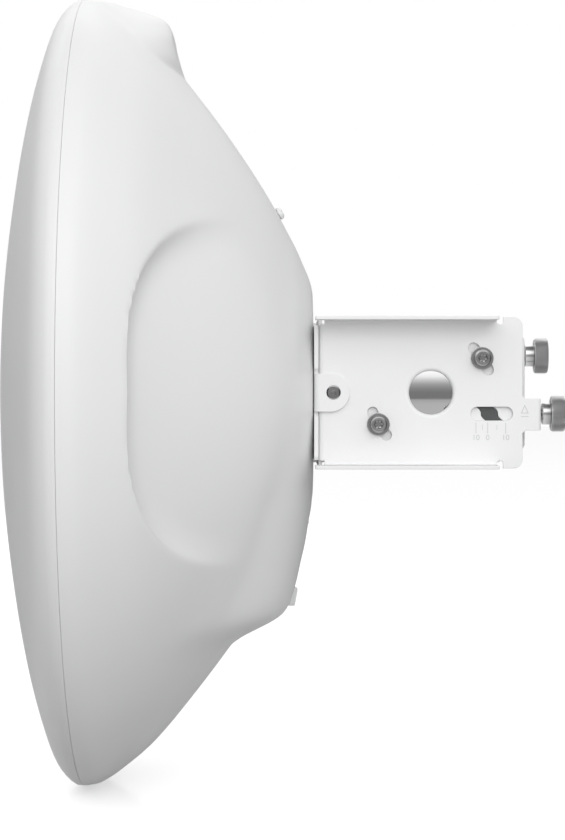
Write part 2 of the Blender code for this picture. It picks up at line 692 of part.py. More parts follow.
def build_electronics():
    """Boards, modules and antennas behind the reflector."""
    add_part("main_board", box(*MAIN_BOARD), BOARD)
    add_part("rf_module", box(*RF_MODULE), ALUMINIUM)
    add_part("heat_spreader", box(*HEAT_SPREADER), ALUMINIUM)
    add_part("gps_antenna", box(*GPS_ANTENNA), CERAMIC)
    add_part("backup_antenna", box(*BACKUP_ANTENNA), BOARD)
    add_part("port_board", box(*PORT_BOARD), BOARD)
    jack = add_part("ethernet_jack", box(*ETHERNET_JACK), STEEL)
    boolean(jack, box(*JACK_SOCKET))
    cage = add_part("sfp_cage", box(*SFP_CAGE), STEEL)
    boolean(cage, box(*SFP_SOCKET))
    add_part("status_light", box(*STATUS_LIGHT), CLEAR)


def build_reset_button():
    """A button on the port board that is pressed towards the dish."""
    radius = RESET_BUTTON_R
    button = turned([(0, 5.2), (radius - 0.3, 5.2), (radius, 4.9), (radius, 0.8), (0, 0.8)], 16)
    add_part("reset_button", placed(button, at(*RESET_BUTTON, ALONG_X)), DARK, smooth=True)


def build_door():
    """Door over the ports, with its hinge knuckle and finger latch."""
    steps_y = 8
    steps_z = 10
    points = []
    for j in range(steps_z + 1):
        z = DOOR_Z[0] + (DOOR_Z[1] - DOOR_Z[0]) * j / steps_z
        for i in range(steps_y + 1):
            y = -DOOR_Y + 2 * DOOR_Y * i / steps_y
            points.append((shell_x(y, z), y, z))
    width = steps_y + 1
    faces = [(j * width + i, j * width + i + 1, (j + 1) * width + i + 1, (j + 1) * width + i)
             for j in range(steps_z) for i in range(steps_y)]
    panel = placed(thickened(points, faces, DOOR_WALL), at(*(-DOOR_HINGE)))
    door = add_part("cable_door", panel, WHITE, DOOR_AXIS)
    edge = DOOR_Y - 0.2
    boolean(door, rod(KNUCKLE_R, 2 * edge, at(0, -edge, 0, ALONG_Y), 14), "UNION")
    for sign in (-1, 1):
        notch = [sign * y for y in KNUCKLE_Y]
        boolean(door, box((-5, 5), notch, (-KNUCKLE_R - 0.4, KNUCKLE_R + 1)))
    boolean(door, rod(HINGE_WIRE_R + 0.15, 40, at(0, -20, 0, ALONG_Y), 10))
    latch_x = shell_x(0, sum(LATCH_Z) / 2) - 1.2 - DOOR_HINGE.x
    latch_z = [z - DOOR_HINGE.z for z in LATCH_Z]
    boolean(door, box((latch_x, latch_x + 5.0), (-LATCH_HALF, LATCH_HALF), latch_z), "UNION")
    wire = rod(HINGE_WIRE_R, 38, at(DOOR_HINGE.x, -19, DOOR_HINGE.z, ALONG_Y), 10)
    add_part("door_hinge_pin", wire, STEEL)


# ---------------------------------------------------------------- elevation bracket

def cheek_outline(tab):
    """A cheek seen from the side, with its bend-relief notches."""
    r = 4.5
    rear = BRACKET_REAR_X
    top = BRACKET_Z
    notch = (FLANGE_END_X, FLANGE_END_X + 3.2, top - 3.9)
    outline = [(BRACKET_FRONT_X, -top), (notch[0], -top), (notch[0], -notch[2]),
               (notch[1], -notch[2]), (notch[1], -top)]
    outline += arc((rear - r, -top + r), r, 270, 360, 5)
    if tab:
        outline += [(rear, TAB_Z[0]), (TAB_X, TAB_Z[0]), (TAB_X, TAB_Z[1]), (rear, TAB_Z[1])]
    outline += arc((rear - r, top - r), r, 0, 90, 5)
    outline += [(notch[1], top), (notch[1], notch[2]), (notch[0], notch[2]), (notch[0], top),
                (BRACKET_FRONT_X, top)]
    return outline


def cheek(tab):
    """A cheek at the mid plane, with its window, slots and pin hole."""
    holes = [circle((0, 0), (PIVOT_WINDOW_R + COLLAR_R) / 2, 28), circle((LOCK_PIN_X, 0), 3.5, 12),
             rounded_box(*SCALE_WINDOW, 3.49, 5)]
    holes += [arc_slot(angle) for angle in SLOT_ANGLES]
    return extruded([cheek_outline(tab)] + holes, SHEET, XZ_PLANE)


def build_elevation_bracket():
    """Folded bracket that carries the dish: front web, two cheeks, flanges and end tab."""
    middle = CHEEK_Y - SHEET / 2
    width = CHEEK_Y - STEP
    height = BRACKET_Z - STEP
    front = box((BRACKET_FRONT_X + STEP, BRACKET_FRONT_X + SHEET), (-width, width), (-height, height))
    bracket = add_part("elevation_bracket", front, COATED)
    boolean(bracket, placed(cheek(True), at(0, -middle, 0)), "UNION")
    boolean(bracket, placed(cheek(False), at(0, middle, 0)), "UNION")
    for sign in (-1, 1):
        for top in (-1, 1):
            flange = box((BRACKET_FRONT_X + 0.6, FLANGE_END_X - STEP),
                         (sign * (CHEEK_Y - SHEET + STEP), sign * FLANGE_Y),
                         (top * height, top * (height - SHEET)))
            boolean(bracket, flange, "UNION")
        depth = COLLAR_END_Y - CHEEK_Y + GAP
        collar = turned([(PIVOT_WINDOW_R, 0), (COLLAR_R, 0), (COLLAR_R, depth), (PIVOT_WINDOW_R, depth)],
                        28, ring=True)
        turn = Matrix.Rotation(math.radians(90 * -sign), 4, "X") @ Matrix.Rotation(math.pi / 28, 4, "Z")
        boolean(bracket, placed(collar, at(0, sign * (CHEEK_Y - GAP), 0, turn)), "UNION")
    end = box((TAB_X - SHEET, TAB_X - STEP), (-CHEEK_Y + STEP, -TAB_INNER_Y),
              (TAB_Z[0] + STEP, TAB_Z[1] - STEP))
    boolean(bracket, end, "UNION")
    boolean(bracket, rod(CAN_R + 1.5, 10, at(BRACKET_FRONT_X - 4, 0, 0, ALONG_X), 32))
    boolean(bracket, screw_holes(-62, -50))
    hole = rod(M5_R + 0.5, 8, at(TAB_X - 4, ELEVATION_SCREW.y, ELEVATION_SCREW.z, ALONG_X), 16)
    boolean(bracket, hole)


def build_antenna_plate():
    """Plate on the dish's back, its two ears, the lock pins and the screws."""
    half = CHEEK_Y + GAP + SHEET
    plate = box(PLATE_X, (-half, half), (-BRACKET_Z, BRACKET_Z))
    plate = add_part("antenna_plate", plate, COATED)
    root = PLATE_X[0] + 0.2
    for sign in (-1, 1):
        ear = [(root, -EAR_R)] + arc((LOCK_PIN_X - 1.5, 0), EAR_R, -90, 90, 12) + [(root, EAR_R)]
        mesh = extruded([ear, circle((LOCK_PIN_X, 0), LOCK_PIN_R + 0.75, 20)], SHEET, XZ_PLANE)
        boolean(plate, placed(mesh, at(0, sign * (half - SHEET / 2), 0)), "UNION")
    boolean(plate, rod(CAN_R + 1.5, 10, at(-64, 0, 0, ALONG_X), 32))
    boolean(plate, screw_holes(-66, -50))
    pins = [rod(LOCK_PIN_R, 9.0, at(LOCK_PIN_X, 47.9 if sign > 0 else -56.9, 0, ALONG_Y), 20)
            for sign in (-1, 1)]
    add_each("lock_pin", pins, STEEL)
    screws = [placed(cap_screw(22), at(-55.0, y, z, ALONG_X)) for y, z in PLATE_SCREWS]
    add_each("plate_screw", screws, STEEL)


# ---------------------------------------------------------------- azimuth frame

def pointer_outline(grow):
    """The slanted pointer slit seen from the side, grown by a margin."""
    low = POINTER_Z[0] - grow
    high = POINTER_Z[1] + grow
    steps = 6
    left = []
    right = []
    for k in range(steps + 1):
        z = low + (high - low) * k / steps
        lean = 27.4 - (z + 7.2) * 0.69 + 0.7 * math.sin((z + 10.7) / 7.0 * 2 * math.pi)
        left.append((lean - POINTER_HALF - grow, z))
        right.append((lean + POINTER_HALF + grow, z))
    return right + left[::-1]


def build_azimuth_frame():
    """Ring inside the bracket: turns on the pole arms and carries the elevation pivot."""
    holes = [circle((0, 0), COLLAR_R + GAP, 28), pointer_outline(0.3),
             circle((ELEVATION_NUT.x, ELEVATION_NUT.z), 2.15, 10)]
    holes += [circle(polar(angle), M5_HOLE_R, 10) for angle in SLOT_ANGLES]
    outline = rounded_box(*FRAME_SIDE_X, -FRAME_TOP_Z[1], FRAME_TOP_Z[1], 5.0)
    thickness = FRAME_SIDE_Y[1] - FRAME_SIDE_Y[0]
    side = extruded([outline] + holes, thickness, XZ_PLANE)
    middle = sum(FRAME_SIDE_Y) / 2
    frame = add_part("azimuth_frame", placed(side, at(0, -middle, 0)), COATED, AZIMUTH_AXIS)
    boolean(frame, placed(side, at(0, middle, 0)), "UNION")
    top_holes = [circle((0, 0), PIVOT_PIN_R + GAP, 20),
                 circle((AZIMUTH_NUT.x, AZIMUTH_NUT.y), 2.15, 10)]
    top_holes += [circle(polar(angle, LOCK_RADIUS), M5_HOLE_R, 10) for angle in LOCK_ANGLES]
    edge = FRAME_SIDE_Y[1] - 0.1
    top = rounded_box(*FRAME_TOP_X, -edge, edge, 1.0, 2)
    for sign in (-1, 1):
        plate = extruded([top] + top_holes, FRAME_TOP_Z[1] - FRAME_TOP_Z[0], XY_PLANE)
        boolean(frame, placed(plate, at(0, 0, sign * sum(FRAME_TOP_Z) / 2)), "UNION")


def build_elevation_locks():
    """Pointers, and the screws and washers that clamp the elevation."""
    pointer = extruded([pointer_outline(0.0)], 1.6, XZ_PLANE)
    pointers = [placed(pointer, at(0, sign * (FRAME_SIDE_Y[1] - 0.9), 0)) for sign in (-1, 1)]
    add_each("elevation_pointer", pointers, DARK, AZIMUTH_AXIS)
    screws = []
    washers = []
    for sign in (-1, 1):
        turn = ALONG_Y if sign > 0 else Matrix.Rotation(math.radians(90), 4, "X")
        for angle in SLOT_ANGLES:
            x, z = polar(angle)
            screws.append(placed(cap_screw(12), at(x, sign * (CHEEK_Y + 1.5), z, turn)))
            washers.append(placed(washer(), at(x, sign * (CHEEK_Y + 0.3), z, turn)))
    add_each("elevation_lock_screw", screws, STEEL, AZIMUTH_AXIS)
    add_each("elevation_lock_washer", washers, STEEL, AZIMUTH_AXIS)


def build_azimuth_locks():
    """Flanged screws that clamp the azimuth."""
    screws = []
    for turn, sign in ((ALONG_Z, 1), (Matrix.Rotation(math.pi, 4, "X"), -1)):
        for angle in LOCK_ANGLES:
            x, y = polar(angle, LOCK_RADIUS)
            screws.append(placed(cap_screw(9, 5.2), at(x, y, sign * (ARM_Z[1] + 0.3), turn)))
    add_each("azimuth_lock_screw", screws, STEEL, AZIMUTH_AXIS)


# ---------------------------------------------------------------- pole bracket

def lock_slot(middle):
    """A curved slot in a pole arm, round the azimuth pivot."""
    half = LOCK_TRAVEL
    width = M5_HOLE_R + 0.1
    ends = [polar(middle - half, LOCK_RADIUS), polar(middle + half, LOCK_RADIUS)]
    outer = arc((0, 0), LOCK_RADIUS + width, middle - half, middle + half, 6)
    inner = arc((0, 0), LOCK_RADIUS - width, middle + half, middle - half, 6)
    return outer + arc(ends[1], width, middle + half, middle + half + 180, 6)[1:-1] + inner + arc(
        ends[0], width, middle - half + 180, middle - half + 360, 6)[1:-1]


def build_pole_bracket():
    """Bracket on the pole: a web with a V seat and band slots, and two arms to the pivots."""
    rear = WEB_X[1]
    inner = WEB_X[0]
    sheet = rear - inner
    seat = [(rear, V_HALF), (rear - V_DEPTH, V_FLOOR_HALF), (rear - V_DEPTH, -V_FLOOR_HALF),
            (rear, -V_HALF)]
    back = [(x - sheet, y + math.copysign(0.6, y)) for x, y in seat[::-1]]
    web = [(rear, WEB_Y)] + seat + [(rear, -WEB_Y), (inner, -WEB_Y)] + back + [(inner, WEB_Y)]
    bracket = add_part("pole_bracket", extruded([web], 2 * ARM_Z[1], XY_PLANE), COATED, GIMBAL)
    arm = [(rear - 0.1, WEB_Y - 0.1)] + [(x - 0.2, y) for x, y in seat] + [(rear - 0.1, -WEB_Y + 0.1)]
    arm += [(30.0, -WEB_Y + 0.1), (12.0, -28.0)] + arc((0, 0), 15.0, 255, 105, 10)
    arm += [(12.0, 28.0), (30.0, WEB_Y - 0.1)]
    holes = [circle((0, 0), PIVOT_PIN_R + 0.25, 20)] + [lock_slot(angle) for angle in LOCK_ANGLES]
    for sign in (-1, 1):
        plate = extruded([arm] + holes, ARM_Z[1] - ARM_Z[0], XY_PLANE)
        boolean(bracket, placed(plate, at(0, 0, sign * (sum(ARM_Z) / 2 - 0.05))), "UNION")
    wide, tall = BAND_SLOT
    slots = [box((inner - 5, rear + 5), (y - wide / 2, y + wide / 2), (z - tall / 2, z + tall / 2))
             for y in (-BAND_SLOT_Y, BAND_SLOT_Y) for z in (-BAND_SLOT_Z, BAND_SLOT_Z)]
    boolean(bracket, merged(slots))
    boolean(bracket, rod(M5_R + 0.4, 12, at(inner - 5, AZIMUTH_SCREW.y, AZIMUTH_SCREW.z, ALONG_X), 16))
    pin = turned([(0, 1.8), (6.0, 1.8), (6.0, 0), (PIVOT_PIN_R, 0), (PIVOT_PIN_R, -5.4), (0, -5.4)], 24)
    pins = [placed(pin, at(0, 0, ARM_Z[1] + 0.3)),
            placed(pin, at(0, 0, -ARM_Z[1] - 0.3, Matrix.Rotation(math.pi, 4, "X")))]
    add_each("azimuth_pivot_pin", pins, STEEL, GIMBAL)


# ---------------------------------------------------------------- adjustment screws

def thumb_screw(seat, neck, head, reach):
    """A knurled thumb screw along X; its axis point is at zero and its tip points to -X."""
    profile = [(0, head[1]), (KNOB_R - 0.8, head[1]), (KNOB_R, head[1] - 0.8),
               (KNOB_R, head[0] + 0.8), (KNOB_R - 0.8, head[0]), (KNOB_NECK_R, head[0]),
               (KNOB_NECK_R, neck), (M5_R, seat), (M5_R, -reach + 1.5), (1.8, -reach), (0, -reach)]
    return placed(turned(profile, 20), ALONG_X)


def retaining_clip(x, outer_r=4.4):
    """The clip that keeps a screw from coming out."""
    ring = turned([(M5_R + GAP, 0.6), (outer_r, 0.6), (outer_r, -0.6), (M5_R + GAP, -0.6)], 12,
                  ring=True)
    return placed(ring, at(x, 0, 0, ALONG_X))


def cross_nut(half_length, stub, turn):
    """A round nut with a cross bore for the screw and one trunnion stub along its axis."""
    radius = 4.6
    profile = [(0, stub), (1.8, stub), (1.8, half_length), (radius, half_length),
               (radius, -half_length), (0, -half_length)]
    return placed(turned(profile, 16), turn)


def build_adjusters():
    """Both thumb screws, their clips and their nuts."""
    lower = thumb_screw(1.2, 1.9, (6.3, 13.4), 47.5)
    add_part("elevation_thumb_screw", lower, STEEL, SWIVEL_AXIS, smooth=True)
    add_part("elevation_swivel_washer", retaining_clip(-2.6), STEEL, SWIVEL_AXIS, smooth=True)
    upper = thumb_screw(GAP, GAP, (5.1, 12.1), 61.2)
    add_part("azimuth_thumb_screw", upper, STEEL, AZIMUTH_SCREW_AXIS, smooth=True)
    add_part("azimuth_retaining_clip", retaining_clip(-3.2), STEEL, AZIMUTH_SCREW_AXIS, smooth=True)

    outward = Matrix.Rotation(math.radians(90), 4, "X")
    half = FRAME_SIDE_Y[0] - GAP + ELEVATION_NUT.y
    nut = add_part("elevation_nut", cross_nut(half, half + 2.0, outward), BRASS, ELEVATION_NUT_AXIS)
    boolean(nut, rod(M5_R + THREAD_PLAY, 12, at(-6, 0, 0, ALONG_X), 20))
    half = 5.0
    stub = FRAME_TOP_Z[1] - 0.4 - AZIMUTH_NUT.z
    nut = add_part("azimuth_nut", cross_nut(half, stub, ALONG_Z), BRASS, AZIMUTH_NUT_AXIS)
    boolean(nut, rod(M5_R + THREAD_PLAY, 12, at(-6, 0, 0, ALONG_X), 20))


build_shells()
build_shell_fittings()
build_reflector()
build_hub()
build_can_covers()
build_electronics()
build_reset_button()
build_door()
build_elevation_bracket()
build_antenna_plate()
build_azimuth_frame()
build_elevation_locks()
build_azimuth_locks()
build_pole_bracket()
build_adjusters()
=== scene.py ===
"""Looks of the outdoor wireless bridge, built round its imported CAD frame.

Pieces are drawn in millimetres about the gimbal centre, where the azimuth and elevation
axes cross: X points from the dish to the pole, Z is up and the camera stands at -Y.
"""

import json
import math

import bmesh
import bpy
import numpy as np
from mathutils import Matrix, Vector


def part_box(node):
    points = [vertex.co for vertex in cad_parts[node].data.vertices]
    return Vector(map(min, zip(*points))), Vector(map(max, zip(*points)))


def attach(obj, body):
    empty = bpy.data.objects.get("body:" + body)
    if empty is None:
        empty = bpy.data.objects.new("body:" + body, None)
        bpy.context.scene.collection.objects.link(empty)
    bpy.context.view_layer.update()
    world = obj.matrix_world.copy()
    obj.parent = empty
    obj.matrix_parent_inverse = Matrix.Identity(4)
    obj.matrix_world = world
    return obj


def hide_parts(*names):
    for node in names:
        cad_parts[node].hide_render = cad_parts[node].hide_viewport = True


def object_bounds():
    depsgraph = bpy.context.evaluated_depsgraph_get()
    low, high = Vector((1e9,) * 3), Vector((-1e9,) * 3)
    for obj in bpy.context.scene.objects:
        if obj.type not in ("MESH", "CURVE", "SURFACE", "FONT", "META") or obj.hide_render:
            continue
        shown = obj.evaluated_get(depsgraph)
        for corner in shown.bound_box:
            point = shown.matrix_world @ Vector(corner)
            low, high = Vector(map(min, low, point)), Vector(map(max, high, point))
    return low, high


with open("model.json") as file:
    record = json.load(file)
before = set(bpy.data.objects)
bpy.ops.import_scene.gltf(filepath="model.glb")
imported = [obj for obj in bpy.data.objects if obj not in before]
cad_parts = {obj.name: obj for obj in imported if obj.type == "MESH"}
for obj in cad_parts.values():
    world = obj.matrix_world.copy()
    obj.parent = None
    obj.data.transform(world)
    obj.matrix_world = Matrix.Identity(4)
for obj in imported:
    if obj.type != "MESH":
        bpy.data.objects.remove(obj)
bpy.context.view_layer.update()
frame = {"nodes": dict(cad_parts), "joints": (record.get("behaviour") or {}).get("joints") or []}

MM = 0.001
JOINTS = {joint["name"]: joint for joint in frame["joints"]}
GIMBAL = Vector(JOINTS["azimuth"]["pos_m"])
TO_WORLD = Matrix.Translation(GIMBAL) @ Matrix.Scale(MM, 4)


def gimbal_mm(point):
    """A point of the frame in millimetres about the gimbal centre."""
    return (Vector(point) - GIMBAL) / MM


def node_mm(name):
    """A CAD node's lowest and highest corners in millimetres about the gimbal centre."""
    return [gimbal_mm(corner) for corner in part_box(name)]


# ---------------------------------------------------------------- dimensions

# Dish shells, the same curves as the CAD solids: (x, radius) from the middle out to the seam. Most of the
# points were printed by a least-squares fit to the photo's outline
RADOME_LOW, RADOME_HIGH = node_mm("radome")
RIM_R = RADOME_HIGH.z
SEAM_X = RADOME_HIGH.x + 0.15
WALL = 2.5
LIP_R = 0.32
RIM_GAP = 0.04
RADOME_MERIDIAN = [(-219.1, 0.0), (-218.6, 42.4), (-215.6, 85.3), (-208.8, 128.1), (-201.8, 160.6),
                   (-194.7, 184.4), (-189.1, 197.6), (-182.2, 204.9), (SEAM_X, RIM_R)]
BOWL_MERIDIAN = [(-59.5, 22.3), (-59.5, 45.0), (-60.4, 56.5), (-65.9, 70.5), (-70.9, 81.0),
                 (-84.3, 105.2), (-101.8, 131.9), (-121.3, 158.0), (-141.7, 182.4),
                 (-158.1, 196.6), (-168.7, 203.7), (-174.6, 205.4), (SEAM_X, RIM_R)]
POD_OUTLINE = [(160.0, -123.0), (163.5, -125.9), (173.0, -129.3), (183.0, -131.9), (188.5, -133.0),
               (193.5, -135.4), (196.5, -139.5), (199.3, -147.0), (202.2, -157.0), (204.6, -165.4),
               (RIM_R, SEAM_X)]
POD_FOOTPRINT = [(160.0, 0.0), (163.5, 18.0), (167.0, 42.0), (171.0, 58.0), (176.0, 62.0),
                 (182.0, 61.0), (190.0, 53.0), (197.0, 45.0), (206.0, 34.0)]
POD_CREST = 0.55
CHIN_OUTLINE = [(45.0, -59.7), (57.0, -60.3), (67.0, -62.0), (78.0, -63.8), (88.5, -66.2),
                (98.0, -68.3), (108.0, -71.3), (114.0, -74.5), (118.0, -79.5), (122.0, -87.0),
                (126.0, -94.5), (131.0, -100.9), (137.0, -105.6)]
CHIN_FLAT = 24.0
CHIN_LIFT_EDGE = 125.0
CHIN_FLATTEN_EDGE = 90.0
CHIN_EASE_IN = (25.0, 62.0)
CHIN_EASE_OUT = (105.0, 150.0)
SCOOP_Y = 85.0
SCOOP_REACH = 102.0
SCOOP_HALF_HEIGHT = 85.0
SCOOP_POWER = 2.6
SCOOP_DEPTH = 11.5
SCOOP_FADE = (88.0, 170.0)
SCOOP_WALL = 15.0
SHELL_ROWS = 110
SHELL_COLUMNS = 384

# Folded sheet of the mount
SHEET = 1.8
BRACKET_LOW, BRACKET_HIGH = node_mm("elevation_bracket")
FRONT_X = BRACKET_LOW.x
TAB_END_X = BRACKET_HIGH.x
FLANGE_Y = BRACKET_HIGH.y
BRACKET_Z = BRACKET_HIGH.z
CHEEK_Y = 55.5
REAR_X = 46.5
FLANGE_END_X = 33.4
WINDOW_R = 11.1
COLLAR_R = 13.0
COLLAR_END_Y = 51.2
SLOT_RADIUS = 31.3
SLOT_ANGLES = (34.0, 211.0)
SLOT_HALF_TRAVEL = 12.4
SLOT_HALF_WIDTH = 2.75
TAB_Z = (-19.2, -3.1)
TAB_INNER_Y = 42.4
SCALE_WINDOW = (20.1, 41.6, -14.2, -7.2)
PLATE_SCREWS = [(y, z) for y in (-34.0, 34.0) for z in (-29.0, 29.0)]
LOCK_PIN_X = -49.6
LOCK_PIN_R = 3.05
EAR_R = 9.7
CAN_R = 21.0
FRAME_SIDE_Y = (51.2, 53.3)
FRAME_TOP_Z = (24.7, 26.9)
FRAME_SIDE_X = (-36.0, 42.0)
FRAME_TOP_X = (-14.0, 28.0)
POINTER_Z = (-17.0, -4.6)
POINTER_HALF = 4.1
LOCK_RADIUS = 24.0
LOCK_ANGLES = (50.0, -50.0)
LOCK_TRAVEL = 13.5
ARM_Z = (27.3, 29.5)
WEB_X = (47.2, 49.4)
WEB_Y = 37.0
V_HALF = 15.0
V_FLOOR_HALF = 3.0
V_DEPTH = 8.0
BAND_SLOT = (5.0, 14.0)
BAND_SLOT_Y = 20.5
BAND_SLOT_Z = 13.0
M5_R = 2.5
PITCH = 0.8
PIVOT_PIN_R = 4.0
KNOB_R = 9.3
KNOB_NECK_R = 5.5
ELEVATION_SCREW = gimbal_mm(JOINTS["elevation_screw_spin"]["pos_m"])
AZIMUTH_SCREW = gimbal_mm(JOINTS["azimuth_screw_spin"]["pos_m"])
ELEVATION_NUT = gimbal_mm(JOINTS["elevation_nut_pivot"]["pos_m"])
AZIMUTH_NUT = gimbal_mm(JOINTS["azimuth_nut_pivot"]["pos_m"])
DOOR_HINGE = gimbal_mm(JOINTS["cable_door_hinge"]["pos_m"])
DOOR_Y = 27.0
DOOR_Z = (-110.8, -67.3)
DOOR_WALL = 2.2
DOOR_OPENING_Z = (-111.8, -65.3)
KNUCKLE_R = 1.6
KNUCKLE_Y = (12.0, 18.0)
LATCH_Z = (-112.6, -103.2)
LATCH_HALF = 4.5
GLAND_R = 8.5
GLAND_BORE_R = 3.5
GLAND_X = -86.0
GLAND_Z = (-118.5, -106.0)
VENT_R = 3.4
VENT_Z = 94.4

# ---------------------------------------------------------------- materials


class Tree:
    """A node tree, with short ways to add to it."""

    def __init__(self, owner):
        owner.use_nodes = True
        self.tree = owner.node_tree

    def node(self, kind, values=None, **settings):
        """A new node, with values for its inputs and settings of its own."""
        made = self.tree.nodes.new("ShaderNode" + kind)
        for key, value in settings.items():
            setattr(made, key, value)
        for key, value in (values or {}).items():
            made.inputs[key].default_value = value
        return made

    def link(self, source, target):
        self.tree.links.new(source, target)

    def ramp(self, value, low, high, start=0.35, end=0.65):
        """The value, with one range mapped to another."""
        made = self.node("MapRange", {"From Min": start, "From Max": end, "To Min": low, "To Max": high})
        self.link(value, made.inputs["Value"])
        return made.outputs["Result"]

    def either(self, ray, plain, special):
        """One shader for most rays and another for a kind of ray."""
        mix = self.node("MixShader")
        self.link(self.node("LightPath").outputs[ray], mix.inputs["Fac"])
        self.link(plain, mix.inputs[1])
        self.link(special, mix.inputs[2])
        return mix.outputs["Shader"]


class Finish(Tree):
    """A material's node tree."""

    def __init__(self, name, colour, roughness, metallic=0.0, specular=0.5):
        self.made = bpy.data.materials.new(name)
        super().__init__(self.made)
        self.shader = self.tree.nodes["Principled BSDF"]
        for key, value in (("Base Color", (*colour, 1.0)), ("Roughness", roughness), ("Metallic", metallic),
                           ("Specular IOR Level", specular)):
            self.shader.inputs[key].default_value = value
        self.colour = colour
        self.roughness = roughness
        self.place = self.node("TexCoord").outputs["Object"]

    def stretched(self, scale, rotation=(0, 0, 0)):
        mapping = self.node("Mapping", {"Scale": scale, "Rotation": rotation})
        self.link(self.place, mapping.inputs["Vector"])
        return mapping.outputs["Vector"]

    def noise(self, scale, detail=3.0, place=None, roughness=0.55):
        made = self.node("TexNoise", {"Scale": scale, "Detail": detail, "Roughness": roughness})
        self.link(place or self.place, made.inputs["Vector"])
        return made.outputs["Fac"]

    def tint(self, value, low, high):
        """Colour between two shades of the base colour."""
        shades = {"A": (*[c * low for c in self.colour], 1.0),
                  "B": (*[min(c * high, 1.0) for c in self.colour], 1.0)}
        mix = self.node("Mix", data_type="RGBA")
        for key, shade in shades.items():
            mix.inputs[key].default_value = shade
        self.link(value, mix.inputs["Factor"])
        self.link(mix.outputs["Result"], self.shader.inputs["Base Color"])

    def gloss(self, value, spread):
        out = self.ramp(value, self.roughness - spread, self.roughness + spread)
        self.link(out, self.shader.inputs["Roughness"])

    def bump(self, *layers):
        """Stack bumps: each layer is a height output and its depth in metres."""
        normal = None
        for height, depth in layers:
            made = self.node("Bump", {"Strength": 1.0, "Distance": depth})
            self.link(height, made.inputs["Height"])
            if normal:
                self.link(normal, made.inputs["Normal"])
            normal = made.outputs["Normal"]
        self.link(normal, self.shader.inputs["Normal"])


def moulded_plastic(name, colour, roughness):
    """Fine matt moulded plastic with a faint drift in shade and gloss."""
    made = Finish(name, colour, roughness)
    broad = made.noise(9.0, 2.0)
    grain = made.noise(2600.0, 2.0)
    made.tint(broad, 0.985, 1.012)
    made.gloss(made.noise(35.0, 3.0), 0.035)
    made.bump((grain, 0.000012), (broad, 0.0004))
    return made.made


def powder_coat(name, colour):
    """White powder coat: soft orange peel under a satin sheen."""
    made = Finish(name, colour, 0.42)
    peel = made.noise(850.0, 2.0, roughness=0.4)
    made.tint(made.noise(40.0, 4.0), 0.985, 1.01)
    made.gloss(made.noise(300.0, 2.0), 0.04)
    made.bump((peel, 0.00003))
    return made.made


def turned_metal(name, colour, roughness, across, painted_knurl_shade=False):
    """Machined metal with fine lathe lines, closest along the axis with the large scale; on a knurl the
    grooves get painted shade and the ridges a painted highlight."""
    made = Finish(name, colour, roughness, 1.0)
    lines = made.noise(1.0, 4.0, made.stretched(across), 0.7)
    if painted_knurl_shade:
        # Pointiness paints shade into the knurl's grooves and a painted highlight onto its ridges
        groove_shade_and_ridge_glint = made.node("NewGeometry").outputs["Pointiness"]
        made.tint(made.ramp(groove_shade_and_ridge_glint, 0.0, 1.0, 0.44, 0.55), 0.22, 1.6)
    else:
        made.tint(made.noise(160.0, 4.0), 0.88, 1.06)
    made.gloss(lines, 0.07)
    made.bump((lines, 0.000006))
    return made.made


def polished_metal(name, colour):
    """Polished steel with hairline scratches."""
    made = Finish(name, colour, 0.075, 1.0)
    hair = made.noise(1.0, 2.0, made.stretched((60.0, 4200.0, 4200.0)), 0.7)
    made.tint(made.noise(25.0, 3.0), 0.95, 1.03)
    made.gloss(hair, 0.03)
    made.bump((hair, 0.0000008))
    return made.made


def cast_metal(name, colour, roughness):
    """Die-cast or sheet aluminium with a pebbled skin."""
    made = Finish(name, colour, roughness, 1.0)
    pebble = made.noise(1300.0, 3.0)
    made.tint(made.noise(70.0, 4.0), 0.92, 1.04)
    made.gloss(made.noise(240.0, 3.0), 0.08)
    made.bump((pebble, 0.00002))
    return made.made


def circuit_board(name, colour):
    """Solder mask with tracks that show through it."""
    made = Finish(name, colour, 0.4)
    tracks = made.node("TexBrick", {"Scale": 260.0, "Mortar Size": 0.06, "Color1": (0, 0, 0, 1),
                                    "Color2": (0.25, 0.25, 0.25, 1), "Mortar": (1, 1, 1, 1)})
    made.link(made.stretched((1, 1, 1), (0, math.pi / 2, 0)), tracks.inputs["Vector"])
    made.tint(made.ramp(tracks.outputs["Color"], 0.0, 1.0, 0.0, 1.0), 0.8, 2.2)
    made.bump((tracks.outputs["Color"], 0.00003))
    return made.made


def rubber(name, colour):
    """Dull moulded rubber."""
    made = Finish(name, colour, 0.72, specular=0.3)
    made.tint(made.noise(90.0, 4.0), 0.75, 1.4)
    made.gloss(made.noise(400.0, 2.0), 0.07)
    made.bump((made.noise(1500.0, 3.0), 0.00003))
    return made.made


def clear_plastic(name, colour):
    """Frosted clear light pipe."""
    made = Finish(name, colour, 0.2)
    made.shader.inputs["Transmission Weight"].default_value = 0.7
    made.gloss(made.noise(500.0, 2.0), 0.06)
    made.bump((made.noise(900.0, 2.0), 0.00001))
    return made.made


HOUSING = moulded_plastic("housing_plastic", (0.80, 0.805, 0.803), 0.40)
COATED = powder_coat("white_powder_coat", (0.84, 0.84, 0.845))
